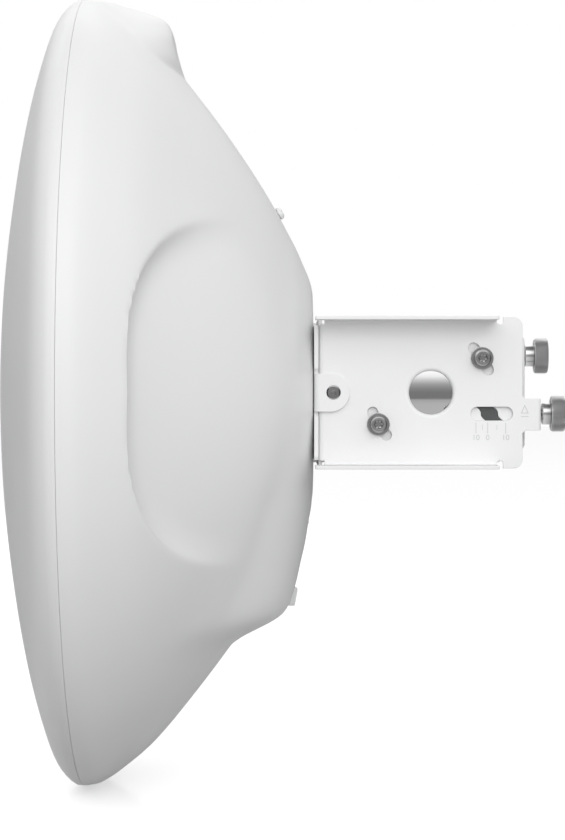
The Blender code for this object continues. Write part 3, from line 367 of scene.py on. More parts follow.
# The knobs' knurls carry painted shade in their grooves and a painted highlight on their ridges
KNOB_STEEL = turned_metal("turned_steel_x", (0.56, 0.56, 0.565), 0.20, (5200.0, 60.0, 60.0), painted_knurl_shade=True)
SCREW_STEEL = turned_metal("turned_steel_y", (0.50, 0.50, 0.505), 0.27, (60.0, 5200.0, 60.0))
PIN_STEEL = turned_metal("pin_steel", (0.30, 0.30, 0.30), 0.42, (60.0, 5200.0, 60.0))
POLISHED = polished_metal("polished_steel", (0.60, 0.60, 0.605))
ALUMINIUM = cast_metal("cast_aluminium", (0.66, 0.66, 0.68), 0.42)
TINPLATE = cast_metal("tinned_sheet", (0.72, 0.71, 0.69), 0.3)
BRASS = turned_metal("brass", (0.66, 0.47, 0.19), 0.3, (60.0, 60.0, 5200.0))
GOLD = turned_metal("contact_gold", (0.85, 0.62, 0.22), 0.22, (60.0, 60.0, 3000.0))
POINTER_GREY = moulded_plastic("pointer_paint", (0.085, 0.09, 0.09), 0.55)
DARK = moulded_plastic("dark_plastic", (0.045, 0.045, 0.05), 0.5)
INK = moulded_plastic("scale_ink", (0.60, 0.605, 0.605), 0.6)
RUBBER = rubber("black_rubber", (0.022, 0.022, 0.022))
BOARD = circuit_board("green_board", (0.015, 0.12, 0.05))
CERAMIC = moulded_plastic("ceramic", (0.72, 0.65, 0.52), 0.5)
CLEAR = clear_plastic("clear_plastic", (0.85, 0.88, 0.90))

# The CAD material that each finish stands for
SLOTS = {HOUSING: "white_plastic", COATED: "white_powder_coat", POLISHED: "polished_steel", BRASS: "brass",
         GOLD: "brass", RUBBER: "black_rubber", BOARD: "green_board", CLEAR: "clear_plastic",
         **dict.fromkeys((KNOB_STEEL, SCREW_STEEL, PIN_STEEL, TINPLATE), "stainless_steel"),
         **dict.fromkeys((POINTER_GREY, DARK, INK), "dark_plastic")}

# ---------------------------------------------------------------- mesh helpers

ALONG_X = Matrix.Rotation(math.radians(90), 4, "Y")
ALONG_Y = Matrix.Rotation(math.radians(-90), 4, "X")
AGAINST_Y = Matrix.Rotation(math.radians(90), 4, "X")
UPSIDE_DOWN = Matrix.Rotation(math.pi, 4, "X")
YZ_PLANE = Matrix(((0, 0, 1, 0), (1, 0, 0, 0), (0, 1, 0, 0), (0, 0, 0, 1)))
ALONG_Z = Matrix.Identity(4)


def at(x, y, z, turn=ALONG_Z):
    """A placement: a point in millimetres and a turn."""
    return Matrix.Translation((x, y, z)) @ turn


def linked(name, data):
    """A new object in the scene."""
    made = bpy.data.objects.new(name, data)
    bpy.context.scene.collection.objects.link(made)
    return made


def evaluated(body, *helpers):
    """An object's mesh with its modifiers applied; the object and its helpers are removed."""
    bpy.context.view_layer.update()
    graph = bpy.context.evaluated_depsgraph_get()
    result = bpy.data.meshes.new_from_object(body.evaluated_get(graph))
    for item in (body, *helpers):
        bpy.data.objects.remove(item, do_unlink=True)
    return result


def closed(bm):
    """The bmesh as a mesh whose faces point out."""
    bmesh.ops.recalc_face_normals(bm, faces=bm.faces)
    mesh = bpy.data.meshes.new("shape")
    bm.to_mesh(mesh)
    bm.free()
    return mesh


def placed(mesh, place):
    """A copy of a mesh at a placement."""
    copy = mesh.copy()
    copy.transform(place)
    return copy


def together(*meshes):
    """Several meshes as one."""
    bm = bmesh.new()
    for mesh in meshes:
        bm.from_mesh(mesh)
    mesh = bpy.data.meshes.new("group")
    bm.to_mesh(mesh)
    bm.free()
    return mesh


def bridge(bm, low, high):
    """Quads between two closed loops of vertices."""
    for k in range(len(low)):
        n = (k + 1) % len(low)
        bm.faces.new((low[k], low[n], high[n], high[k]))


def lofted(loops, ring=False):
    """Quads between loops of equally many points; a ring joins the last loop to the first."""
    bm = bmesh.new()
    rows = [[bm.verts.new(point) for point in loop] for loop in loops]
    pairs = list(zip(rows, rows[1:]))
    if ring:
        pairs.append((rows[-1], rows[0]))
    for low, high in pairs:
        bridge(bm, low, high)
    if not ring:
        bm.faces.new(rows[0][::-1])
        bm.faces.new(rows[-1])
    return closed(bm)


def rings(profile, segments):
    """Round loops about Z from (radius, height) pairs."""
    turns = [2 * math.pi * k / segments for k in range(segments)]
    return [[(r * math.cos(t), r * math.sin(t), h) for t in turns] for r, h in profile]


def turned(profile, segments=64, ring=False):
    """A lathe shape about Z from (radius, height) pairs; a ring's profile is a closed loop."""
    return lofted(rings(profile, segments), ring)


def rounded(profile, radius, steps=3, ring=False):
    """The profile with each corner replaced by a small arc."""
    points = [Vector(point) for point in profile]
    count = len(points)
    result = []
    for i, corner in enumerate(points):
        if not ring and i in (0, count - 1):
            result.append(tuple(corner))
            continue
        before = points[i - 1] - corner
        after = points[(i + 1) % count] - corner
        reach = min(radius, before.length * 0.45, after.length * 0.45)
        start = corner + before.normalized() * reach
        end = corner + after.normalized() * reach
        for k in range(steps + 1):
            t = k / steps
            result.append(tuple(start.lerp(corner, t).lerp(corner.lerp(end, t), t)))
    return result


def arc(centre, radius, start, end, steps=10):
    """Points along an arc, angles in degrees."""
    turns = [math.radians(start + (end - start) * i / steps) for i in range(steps + 1)]
    return [(centre[0] + radius * math.cos(t), centre[1] + radius * math.sin(t)) for t in turns]


def circle(centre, radius, segments=64):
    """A round outline."""
    return arc(centre, radius, 0, 360, segments)[:-1]


def rounded_box(left, right, low, high, radius, steps=8):
    """A rectangle's outline with round corners."""
    corners = [((right - radius, high - radius), 0), ((left + radius, high - radius), 90),
               ((left + radius, low + radius), 180), ((right - radius, low + radius), 270)]
    return [p for centre, start in corners for p in arc(centre, radius, start, start + 90, steps)]


def polar(angle, radius=SLOT_RADIUS):
    """A point round the pivot."""
    return radius * math.cos(math.radians(angle)), radius * math.sin(math.radians(angle))


def inset(outline, distance, hole):
    """The outline moved into the material by a distance."""
    points = np.array(outline, float)
    after = np.roll(points, -1, axis=0) - points
    after /= np.linalg.norm(after, axis=1)[:, None]
    before = np.roll(after, 1, axis=0)
    area = np.sum(points[:, 0] * np.roll(points[:, 1], -1) - np.roll(points[:, 0], -1) * points[:, 1])
    side = math.copysign(1.0, area) * (-1.0 if hole else 1.0)
    normal = np.stack([-(after + before)[:, 1], (after + before)[:, 0]], axis=1) * side
    length = np.linalg.norm(normal, axis=1)[:, None]
    normal = np.where(length > 1e-6, normal / np.maximum(length, 1e-6), 0.0)
    along = np.clip(np.sum(normal * np.stack([-after[:, 1], after[:, 0]], axis=1) * side, axis=1), 0.5, 1)
    return points + normal * (distance / along)[:, None]


def plate(outlines, thickness, edge=0.3, steps=2):
    """A sheet from Z = 0 up: an outer outline and its holes, with rounded edges."""
    bm = bmesh.new()
    levels = []
    for k in range(steps + 1):
        turn = math.pi / 2 * k / steps
        levels.append((edge * (1 - math.sin(turn)), edge * (1 - math.cos(turn))))
    levels += [(d, thickness - h) for d, h in levels[::-1]]
    rims = ([], [])
    for number, outline in enumerate(outlines):
        rows = [[bm.verts.new((*point, height)) for point in inset(outline, d, number > 0)]
                for d, height in levels]
        for low, high in zip(rows, rows[1:]):
            bridge(bm, low, high)
        for rim, row in zip(rims, (rows[0], rows[-1])):
            rim.extend(bm.edges.get((row[k], row[(k + 1) % len(row)])) for k in range(len(row)))
    for rim in rims:
        bmesh.ops.triangle_fill(bm, use_beauty=True, use_dissolve=False, edges=rim)
    return closed(bm)


def sliced(mesh, planes):
    """The mesh with an edge loop where each (point, normal) plane crosses it."""
    bm = bmesh.new()
    bm.from_mesh(mesh)
    for point, normal in planes:
        geometry = bm.verts[:] + bm.edges[:] + bm.faces[:]
        bmesh.ops.bisect_plane(bm, geom=geometry, dist=1e-5, plane_co=point, plane_no=normal)
    result = bpy.data.meshes.new("sliced")
    bm.to_mesh(result)
    bm.free()
    return result


def remapped(mesh, place):
    """The mesh with a function applied to its points."""
    copy = mesh.copy()
    for vertex in copy.vertices:
        vertex.co = place(*vertex.co)
    bm = bmesh.new()
    bm.from_mesh(copy)
    return closed(bm)


def carved(mesh, tools, operation="DIFFERENCE"):
    """The mesh cut by, or joined to, each of the tools."""
    body = linked("body", mesh)
    helpers = [linked("tool", tool) for tool in tools]
    for helper in helpers:
        modifier = body.modifiers.new("cut", "BOOLEAN")
        modifier.operation = operation
        modifier.solver = "EXACT"
        modifier.object = helper
    return evaluated(body, *helpers)


def bevelled(mesh, width, segments=2, angle=40):
    """The mesh with its sharp edges rounded."""
    body = linked("body", mesh)
    modifier = body.modifiers.new("edges", "BEVEL")
    modifier.width = width
    modifier.segments = segments
    modifier.limit_method = "ANGLE"
    modifier.angle_limit = math.radians(angle)
    modifier.miter_outer = "MITER_ARC"
    return evaluated(body)


def block(x, y, z, edge=0.0):
    """A box between limits, its edges rounded where asked."""
    bm = bmesh.new()
    size = [abs(limits[1] - limits[0]) for limits in (x, y, z)]
    centre = [sum(limits) / 2 for limits in (x, y, z)]
    bmesh.ops.create_cube(bm, size=1.0, matrix=Matrix.Translation(centre) @ Matrix.Diagonal((*size, 1)))
    mesh = closed(bm)
    return bevelled(mesh, edge, 3) if edge else mesh


def rod(radius, length, place, segments=48):
    """A plain cylinder used as a cutter."""
    return placed(turned([(radius, 0), (radius, length)], segments), place)


def piece(name, mesh, finish, nodes, body="antenna", smooth=35.0, weighted=True):
    """Put a mesh into the scene as a piece that stands for CAD nodes and rides on a body."""
    mesh.transform(TO_WORLD)
    mesh.name = name
    mesh.materials.clear()
    mesh.materials.append(finish)
    mesh.shade_smooth()
    mesh.set_sharp_from_angle(angle=math.radians(smooth))
    made = linked(name, mesh)
    made.visible_glossy = name not in ("folded_bracket", "gimbal_frame")
    if weighted:
        shade = made.modifiers.new("shade", "WEIGHTED_NORMAL")
        shade.mode = "FACE_AREA"
        shade.weight = 60
        shade.keep_sharp = True
    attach(made, body)
    if nodes:
        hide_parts(*nodes)


# ---------------------------------------------------------------- dish surface


def smooth_curve(points, count):
    """Points spaced evenly along a smooth curve through the given ones."""
    knots = np.array(points, float)
    chords = np.hypot(*np.diff(knots, axis=0).T) ** 0.5
    t = np.concatenate([[0.0], np.cumsum(chords)])
    slope = np.empty_like(knots)
    slope[1:-1] = (knots[2:] - knots[:-2]) / (t[2:] - t[:-2])[:, None]
    slope[0] = (knots[1] - knots[0]) / chords[0]
    slope[-1] = (knots[-1] - knots[-2]) / chords[-1]
    dense = np.linspace(0, t[-1], 60 * len(knots))
    i = np.clip(np.searchsorted(t, dense, side="right") - 1, 0, len(knots) - 2)
    h = (t[i + 1] - t[i])[:, None]
    u = (dense - t[i])[:, None] / h
    curve = (knots[i] * (1 + 2 * u) * (1 - u) ** 2 + slope[i] * h * u * (1 - u) ** 2
             + knots[i + 1] * u * u * (3 - 2 * u) + slope[i + 1] * h * u * u * (u - 1))
    length = np.concatenate([[0.0], np.cumsum(np.hypot(*np.diff(curve, axis=0).T))])
    even = np.linspace(0, length[-1], count)
    return np.stack([np.interp(even, length, curve[:, k]) for k in (0, 1)], axis=1)


BOWL = smooth_curve(BOWL_MERIDIAN, 900)
POD = smooth_curve(POD_OUTLINE, 400)
CHIN = smooth_curve(CHIN_OUTLINE, 400)
FOOTPRINT = smooth_curve(POD_FOOTPRINT, 200)


def smooth_step(value):
    """Ease from 0 to 1."""
    t = np.clip(value, 0.0, 1.0)
    return t * t * (3 - 2 * t)


def shell_x(y, z, base=None):
    """The rear shell's outer surface at points seen along X."""
    y = np.abs(np.asarray(y, float))
    z = np.asarray(z, float)
    radius = np.hypot(y, z)
    if base is None:
        base = np.interp(radius, BOWL[:, 1], BOWL[:, 0])
    reach = np.interp(z, FOOTPRINT[:, 0], FOOTPRINT[:, 1])
    share = np.clip((reach - y) / np.maximum(reach * (1 - POD_CREST), 1e-6), 0.0, 1.0)
    top = np.interp(radius, POD[:, 0], POD[:, 1])
    share = share * np.clip((base - SEAM_X - 0.4) / 2.5, 0.0, 1.0)
    pod = np.where(z > POD_FOOTPRINT[0][0], share * np.maximum(top - base, 0.0), 0.0)
    depth = -z
    plain = np.interp(depth, BOWL[:, 1], BOWL[:, 0])
    lift = np.where(depth < CHIN_OUTLINE[-1][0], np.interp(depth, CHIN[:, 0], CHIN[:, 1]) - plain, 0.0)
    lift = np.where(depth > CHIN_OUTLINE[0][0], np.maximum(lift, 0.0), 0.0)
    chin = lift * smooth_step((CHIN_LIFT_EDGE - y) / (CHIN_LIFT_EDGE - CHIN_FLAT))
    share = smooth_step((CHIN_FLATTEN_EDGE - y) / (CHIN_FLATTEN_EDGE - CHIN_FLAT))
    share = share * smooth_step((depth - CHIN_EASE_IN[0]) / (CHIN_EASE_IN[1] - CHIN_EASE_IN[0]))
    share = share * smooth_step((CHIN_EASE_OUT[1] - depth) / (CHIN_EASE_OUT[1] - CHIN_EASE_OUT[0]))
    chin = chin + share * np.maximum(plain - base, 0.0)
    across = np.maximum(y - SCOOP_Y, 0.0) / SCOOP_REACH
    along = np.abs(z) / SCOOP_HALF_HEIGHT
    edge = (across ** SCOOP_POWER + along ** SCOOP_POWER) ** (1 / SCOOP_POWER)
    inside = np.clip((1 - edge) * SCOOP_HALF_HEIGHT / SCOOP_WALL, 0.0, 1.0)
    fade = smooth_step((y - SCOOP_FADE[0]) / (SCOOP_FADE[1] - SCOOP_FADE[0]))
    scoop = SCOOP_DEPTH * fade * (1 - (1 - inside) ** 2)
    return base + pod + chin - scoop


def shell_normal(y, z):
    """The outward direction of the rear shell at one point."""
    step = 0.5
    slope_y = float(shell_x(y + step, z) - shell_x(y - step, z)) / (2 * step)
    slope_z = float(shell_x(y, z + step) - shell_x(y, z - step)) / (2 * step)
    return Vector((1.0, -slope_y, -slope_z)).normalized()


def skinned(points, wall, wrap):
    """A grid of surface points given a wall: outer skin, inner skin and the strips between."""
    rows, columns = points.shape[:2]
    along = np.gradient(points, axis=0)
    if wrap:
        around = (np.roll(points, -1, axis=1) - np.roll(points, 1, axis=1)) / 2
    else:
        around = np.gradient(points, axis=1)
    normal = np.cross(along, around)
    normal /= np.linalg.norm(normal, axis=2)[..., None]
    if normal[..., 0].sum() * wall < 0:
        normal = -normal
    inner = points - normal * abs(wall)
    bm = bmesh.new()
    skins = [[[bm.verts.new(p) for p in row] for row in grid] for grid in (points, inner)]
    last = columns if wrap else columns - 1
    for grid in skins:
        for i in range(rows - 1):
            for k in range(last):
                n = (k + 1) % columns
                bm.faces.new((grid[i][k], grid[i][n], grid[i + 1][n], grid[i + 1][k]))
    for i in (0, rows - 1):
        for k in range(last):
            n = (k + 1) % columns
            bm.faces.new((skins[0][i][k], skins[0][i][n], skins[1][i][n], skins[1][i][k]))
    if not wrap:
        for k in (0, columns - 1):
            for i in range(rows - 1):
                bm.faces.new((skins[0][i][k], skins[0][i + 1][k], skins[1][i + 1][k], skins[1][i][k]))
    return closed(bm)


def rim_lip(side):
    """Extra (x, radius) points that round a shell's rim over at the seam."""
    rim = SEAM_X + side * RIM_GAP
    return [(rim + side * LIP_R * (1 - math.sin(t)), RIM_R - LIP_R * (1 - math.cos(t)))
            for t in (math.radians(a) for a in (22, 45, 68, 90))]


def vent_place():
    """Where the vent stands on the shell."""
    return at(float(shell_x(0, VENT_Z)), 0, VENT_Z,
              shell_normal(0, VENT_Z).to_track_quat("Z", "Y").to_matrix().to_4x4())


def build_radome():
    """Front cover, drawn finely, with its edge rounded over at the seam."""
    rows = smooth_curve(RADOME_MERIDIAN, 70)[1:-1]
    rows = [row for row in rows if row[0] < SEAM_X - RIM_GAP - LIP_R] + rim_lip(-1)
    turns = np.linspace(0, 2 * math.pi, 288, endpoint=False)
    points = np.array([[(x, r * math.sin(t), r * math.cos(t)) for t in turns] for x, r in rows])
    cover = skinned(points, -WALL, True)
    bm = bmesh.new()
    bm.from_mesh(cover)
    bmesh.ops.holes_fill(bm, edges=[e for e in bm.edges if e.is_boundary], sides=0)
    crown = min(v.co.x for v in bm.verts)
    ring = [v for v in bm.verts if abs(v.co.x - crown) < 1e-3]
    bmesh.ops.contextual_create(bm, geom=ring)
    piece("front_radome", closed(bm), HOUSING, ["radome"], smooth=30, weighted=False)


def build_housing():
    """Rear shell with its pod, scoops and chin, its openings and the knuckles of its door."""
    bases = smooth_curve(BOWL_MERIDIAN, SHELL_ROWS)
    bases = [row for row in bases if row[0] > SEAM_X + RIM_GAP + LIP_R] + rim_lip(1)
    turns = np.linspace(0, 2 * math.pi, SHELL_COLUMNS, endpoint=False)
    base = np.array([row[0] for row in bases])[:, None] * np.ones(len(turns))[None, :]
    radius = np.array([row[1] for row in bases])[:, None]
    y = radius * np.sin(turns)[None, :]
    z = radius * np.cos(turns)[None, :]
    x = shell_x(y, z, base)
    shell = skinned(np.stack([x, y, z], axis=2), WALL, True)
    side = DOOR_Y + 0.4
    opening = plate([rounded_box(-side, side, *DOOR_OPENING_Z, 1.2, 4)], 32, 0.01)
    opening = placed(opening, at(-82, 0, 0, YZ_PLANE))
    cutters = [opening, rod(GLAND_R + 0.3, 32, at(GLAND_X, 0, -140)),
               rod(VENT_R + 0.15, 20, vent_place() @ Matrix.Translation((0, 0, -12)))]
    shell = carved(shell, cutters)
    knuckles = []
    for sign in (-1, 1):
        middle = sign * sum(KNUCKLE_Y) / 2
        barrel = turned(rounded([(0.85, 0), (KNUCKLE_R, 0), (KNUCKLE_R, 5.3), (0.85, 5.3)], 0.25, 2, True),
                        24, ring=True)
        knuckles.append(placed(barrel, at(DOOR_HINGE.x, middle - 2.65, DOOR_HINGE.z, ALONG_Y)))
        knuckles.append(block((DOOR_HINGE.x - 1.0, DOOR_HINGE.x + 1.0), (middle - 2.6, middle + 2.6),
                              (DOOR_HINGE.z + 1.2, -64.9), 0.2))
    piece("rear_housing", together(shell, *knuckles), HOUSING, ["rear_shell"], smooth=30, weighted=False)


def build_vent():
    """Breather vent: a flanged cap with a soft dome."""
    cap = turned(rounded([(0.01, 3.0), (VENT_R - 1.2, 3.0), (VENT_R, 1.6), (VENT_R, 0.6),
                          (VENT_R - 0.5, 0.3), (VENT_R - 0.5, -5.0), (0.01, -5.0)], 0.6, 4), 48)
    slots = [block((-3.6, 3.6), (-0.25, 0.25), (2.55, 4.0))]
    piece("vent_cap", placed(carved(cap, slots), vent_place()), HOUSING, ["vent_plug"])


def build_door():
    """Door over the ports: a curved panel with round edges, knuckles and a ribbed finger tab."""
    rows = np.linspace(DOOR_Z[0], DOOR_Z[1] + 0.4, 40)
    columns = np.linspace(-DOOR_Y, DOOR_Y, 48)
    y, z = np.meshgrid(columns, rows)
    panel = bevelled(skinned(np.stack([shell_x(y, z), y, z], axis=2), DOOR_WALL, False), 0.35, 3, 60)
    barrel = turned(rounded([(0.85, 0), (KNUCKLE_R, 0), (KNUCKLE_R, 2 * DOOR_Y - 0.4),
                             (0.85, 2 * DOOR_Y - 0.4)], 0.25, 2, True), 24, ring=True)
    barrel = placed(barrel, at(DOOR_HINGE.x, 0.2 - DOOR_Y, DOOR_HINGE.z, ALONG_Y))
    notches = [block((DOOR_HINGE.x - 5, DOOR_HINGE.x + 5), (sign * KNUCKLE_Y[0], sign * KNUCKLE_Y[1]),
                     (DOOR_HINGE.z - KNUCKLE_R - 0.4, DOOR_HINGE.z + KNUCKLE_R + 1)) for sign in (-1, 1)]
    middle = sum(LATCH_Z) / 2
    face = float(shell_x(0, middle))
    low_z, high_z = LATCH_Z
    side = [(face - 1.2, low_z), (face + 2.2, low_z), (face + 3.75, high_z - 1.2), (face + 3.0, high_z),
            (face - 1.2, high_z)]
    tab = upright([rounded(side, 0.4, 3, True)], LATCH_HALF, -1, 2 * LATCH_HALF, 0.4)
    ribs = [block((face + 2.75, face + 4.4), (-3.4, 3.4), (middle + dz - 0.35, middle + dz + 0.35))
            for dz in (-2.4, -0.8, 0.8, 2.4)]
    door = together(carved(panel, notches), carved(barrel, notches), carved(tab, ribs))
    piece("port_door", door, HOUSING, ["cable_door"], body="cable_door", smooth=30)


def build_grommet():
    """Ribbed rubber seal for the cable."""
    low, high = GLAND_Z
    profile = [(GLAND_BORE_R, high), (GLAND_R, high), (GLAND_R, high - 2.5), (GLAND_R - 0.9, high - 3.2),
               (GLAND_R - 0.9, high - 5.0), (GLAND_R, high - 5.7), (GLAND_R, low + 1.5),
               (GLAND_R - 1.5, low), (GLAND_BORE_R + 1.2, low), (GLAND_BORE_R, low + 1.2)]
    seal = turned(rounded(profile, 0.5, 3, True), 64, ring=True)
    piece("cable_seal", placed(seal, at(GLAND_X, 0, 0)), RUBBER, ["cable_grommet"])




# ---------------------------------------------------------------- folded sheet metal

FOLD_R = 2.5
FLANGE_R = 3.0
FOLD_STEPS = 7


class Fold:
    """Developed lengths round one or more bends of a sheet, measured on its outer face."""

    def __init__(self, front, side, radius=FOLD_R):
        self.front = front
        self.side = side
        self.radius = radius
        self.start = side - radius
        self.end = self.start + radius * math.pi / 2

    def along(self, x):
        """Developed length at a point of the cheek."""
        return self.end + x - (self.front + self.radius)

    def lines(self):
        """Where the sheet needs edge loops so that it bends smoothly."""
        span = self.end - self.start
        return [self.start - 0.2, *[self.start + span * k / FOLD_STEPS for k in range(FOLD_STEPS + 1)],
                self.end + 0.2]

    def place(self, s, depth):
        """X and the distance from the middle at a developed length and a depth into the sheet."""
        if s <= self.start:
            return self.front + depth, s
        if s >= self.end:
            return self.front + self.radius + s - self.end, self.side - depth
        turn = (s - self.start) / self.radius
        reach = self.radius - depth
        return (self.front + self.radius - reach * math.cos(turn),
                self.side - self.radius + reach * math.sin(turn))


def mirrored(half):
    """An outline from its right half, given from bottom to top."""
    return half + [(-u, v) for u, v in half[::-1]]


def arc_slot(middle, radius, half_angle, half_width, steps=20):
    """A curved slot's outline round the origin."""
    first = middle - half_angle
    last = middle + half_angle
    return (arc((0, 0), radius + half_width, first, last, steps)
            + arc(polar(last, radius), half_width, last, last + 180, 16)[1:-1]
            + arc((0, 0), radius - half_width, last, first, steps)
            + arc(polar(first, radius), half_width, first + 180, first + 360, 16)[1:-1])


def web_holes():
    """Holes that the bracket's web and the antenna plate share: for the can and the plate screws."""
    return [circle((0, 0), CAN_R + 1.5, 96)] + [circle(point, M5_R + 0.3, 32) for point in PLATE_SCREWS]


def build_bracket():
    """Elevation bracket: one folded sheet with flanges, an end tab and flared pivot windows."""
    fold = Fold(FRONT_X, CHEEK_Y)
    tab_x = TAB_END_X - FOLD_R
    tab_start = fold.along(tab_x)
    tab_end = tab_start + FOLD_R * math.pi / 2
    tab_stop = tab_end + CHEEK_Y - FOLD_R - TAB_INNER_Y
    flange_from = BRACKET_Z - FLANGE_R
    flange_to = flange_from + FLANGE_R * math.pi / 2
    flange_stop = flange_to + FLANGE_Y - (CHEEK_Y - SHEET + FLANGE_R)
    relief = 3.9
    rear = fold.along(REAR_X)
    ends = fold.along(FLANGE_END_X)
    step = fold.along(FLANGE_END_X + 3.2)
    flange_nose = fold.end - FOLD_R - 1.9
    nose_start = flange_nose - 0.5
    top = BRACKET_Z

    def half(tab):
        corner = 4.5
        upper = [(rear - corner + corner * math.cos(t), top - corner + corner * math.sin(t))
                 for t in np.radians(np.linspace(0, 90, 10))]
        notch = arc((step - 1.6, top - relief + 1.6), 1.6, 0, -180, 10)
        upper += [(step, top), *notch, (ends, flange_to + 0.6)]
        upper += arc((ends - 1.5, flange_stop - 1.5), 1.5, 0, 90, 6)
        upper += arc((flange_nose + 1.5, flange_stop - 1.5), 1.5, 90, 180, 6)
        upper += [(flange_nose, flange_to + 0.6), (fold.end + 0.4, flange_to + 0.3),
                  (fold.end + 0.4, top - relief), (fold.start - 1.2, top - relief),
                  (fold.start - 1.2, top - 1.0), (fold.start - 2.2, top)]
        lower = [(u, -v) for u, v in upper[::-1]]
        middle = []
        if tab:
            middle = [(rear, TAB_Z[0] - 1.5), (rear + 1.5, TAB_Z[0])]
            middle += arc((tab_stop - 1.5, TAB_Z[0] + 1.5), 1.5, 270, 360, 6)
            middle += arc((tab_stop - 1.5, TAB_Z[1] - 1.5), 1.5, 0, 90, 6)
            middle += [(rear + 1.5, TAB_Z[1]), (rear, TAB_Z[1] + 1.5)]
        return lower + middle + upper

    outline = half(False) + [(-u, v) for u, v in half(True)[::-1]]
    holes = web_holes()
    for sign in (-1, 1):
        shapes = [circle((0, 0), COLLAR_R + 0.6, 96), circle((LOCK_PIN_X, 0), 3.5, 40),
                  rounded_box(*SCALE_WINDOW, 3.49, 12)]
        shapes += [arc_slot(angle, SLOT_RADIUS, SLOT_HALF_TRAVEL, SLOT_HALF_WIDTH)
                   for angle in SLOT_ANGLES]
        holes += [[(sign * fold.along(x), z) for x, z in shape] for shape in shapes]
    screw_u = tab_end + CHEEK_Y - FOLD_R + ELEVATION_SCREW.y
    holes.append(circle((-screw_u, ELEVATION_SCREW.z), M5_R + 0.5, 40))
    flat = plate([outline, *holes], SHEET, 0.3)
    cuts = [((sign * s, 0, 0), (1, 0, 0)) for s in fold.lines() for sign in (-1, 1)]
    cuts += [((-tab_start - span * FOLD_R * math.pi / 2 / FOLD_STEPS, 0, 0), (1, 0, 0))
             for span in [-0.3, *range(FOLD_STEPS + 1), FOLD_STEPS + 0.3]]
    cuts += [((0, sign * (flange_from + span * FLANGE_R * math.pi / 2 / FOLD_STEPS), 0), (0, 1, 0))
             for span in [-0.3, *range(FOLD_STEPS + 1), FOLD_STEPS + 0.3] for sign in (-1, 1)]

    def bend(u, v, depth):
        s = abs(u)
        side = math.copysign(1, u)
        if abs(v) > flange_from and nose_start < s < fold.along(35.0):
            x = FRONT_X + FOLD_R + s - fold.end
            reach = FLANGE_R - SHEET + depth
            if abs(v) < flange_to:
                turn = (abs(v) - flange_from) / FLANGE_R
                out = CHEEK_Y - SHEET + FLANGE_R - reach * math.cos(turn)
                return x, side * out, math.copysign(flange_from + reach * math.sin(turn), v)
            out = CHEEK_Y - SHEET + FLANGE_R + abs(v) - flange_to
            return x, side * out, math.copysign(flange_from + reach, v)
        if s > tab_start:
            turn = min((s - tab_start) / FOLD_R, math.pi / 2)
            reach = FOLD_R - depth
            x = tab_x + reach * math.sin(turn)
            return x, side * (CHEEK_Y - FOLD_R + reach * math.cos(turn) - max(s - tab_end, 0.0)), v
        x, out = fold.place(s, depth)
        return x, side * out, v

    folded = remapped(sliced(flat, cuts), bend)
    collars = []
    for sign in (-1, 1):
        depth = CHEEK_Y - COLLAR_END_Y
        flare = 2.0
        profile = [(WINDOW_R, depth), (WINDOW_R, flare)]
        profile += [(WINDOW_R + flare * (1 - math.cos(t)), flare * (1 - math.sin(t)))
                    for t in np.radians(np.linspace(10, 90, 9))]
        profile += [(COLLAR_R + 0.9, 0.0), (COLLAR_R + 0.9, SHEET - 0.1), (COLLAR_R, SHEET + 0.6),
                    (COLLAR_R, depth)]
        ring = turned(profile, 128, ring=True)
        collars.append(placed(ring, at(0, sign * CHEEK_Y, 0, AGAINST_Y if sign > 0 else ALONG_Y)))
    piece("folded_bracket", together(folded, *collars), COATED, ["elevation_bracket"], smooth=40)


def build_plate():
    """Antenna plate with its two ears bent back."""
    low, high = node_mm("antenna_plate")
    front = low.x - 0.22
    sheet = FRONT_X - 0.08 - front
    fold = Fold(front, high.y, 2.9)
    corner = 2.5
    height = BRACKET_Z - 4.2
    half = [(fold.start, -height), (fold.start + 1.6, -height + 0.1)]
    half += arc((fold.start + 2.6 - corner, -height + corner), corner, 330, 360, 4)
    half += [(fold.start + 2.6, -EAR_R - 2.4), (fold.start - 0.4, -EAR_R - 2.4), (fold.start - 0.4, -EAR_R),
             (fold.end, -EAR_R)]
    half += arc((fold.along(LOCK_PIN_X - 1.5), 0), EAR_R, -90, 90, 48)
    half += [(u, -v) for u, v in half[:-49][::-1]]
    holes = web_holes()
    holes += [circle((sign * fold.along(LOCK_PIN_X), 0), LOCK_PIN_R + 0.55, 48) for sign in (-1, 1)]
    flat = plate([mirrored(half), *holes], sheet, 0.3)
    cuts = [((sign * s, 0, 0), (1, 0, 0)) for s in fold.lines() for sign in (-1, 1)]

    def bend(u, v, depth):
        if abs(v) > EAR_R + 1.0:
            return fold.front + depth, u, v
        x, out = fold.place(abs(u), depth)
        return x, math.copysign(out, u), v

    piece("dish_plate", remapped(sliced(flat, cuts), bend), COATED, ["antenna_plate"], smooth=40)


def pointer_outline(grow, steps=28):
    """The slanted pointer seen from the side, grown by a margin."""
    low = POINTER_Z[0] - grow
    high = POINTER_Z[1] + grow
    left = []
    right = []
    for k in range(steps + 1):
        z = low + (high - low) * k / steps
        lean = 27.4 - (z + 7.2) * 0.69 + 0.7 * math.sin((z + 10.7) / 7.0 * 2 * math.pi)
        left.append((lean - POINTER_HALF - grow, z))
        right.append((lean + POINTER_HALF + grow, z))
    return right + left[::-1]


def upright(outlines, y, sign, thickness, edge=0.3):
    """A plate in the XZ plane whose outer face stands at a distance from the middle."""
    flat = plate(outlines, thickness, edge)
    if sign > 0:
        flat = placed(flat, Matrix.Scale(-1, 4, (1, 0, 0)))
        flat = remapped(flat, lambda x, v, d: (-x, y - thickness + d, v))
    else:
        flat = remapped(flat, lambda x, v, d: (x, -y + d, v))
    return flat


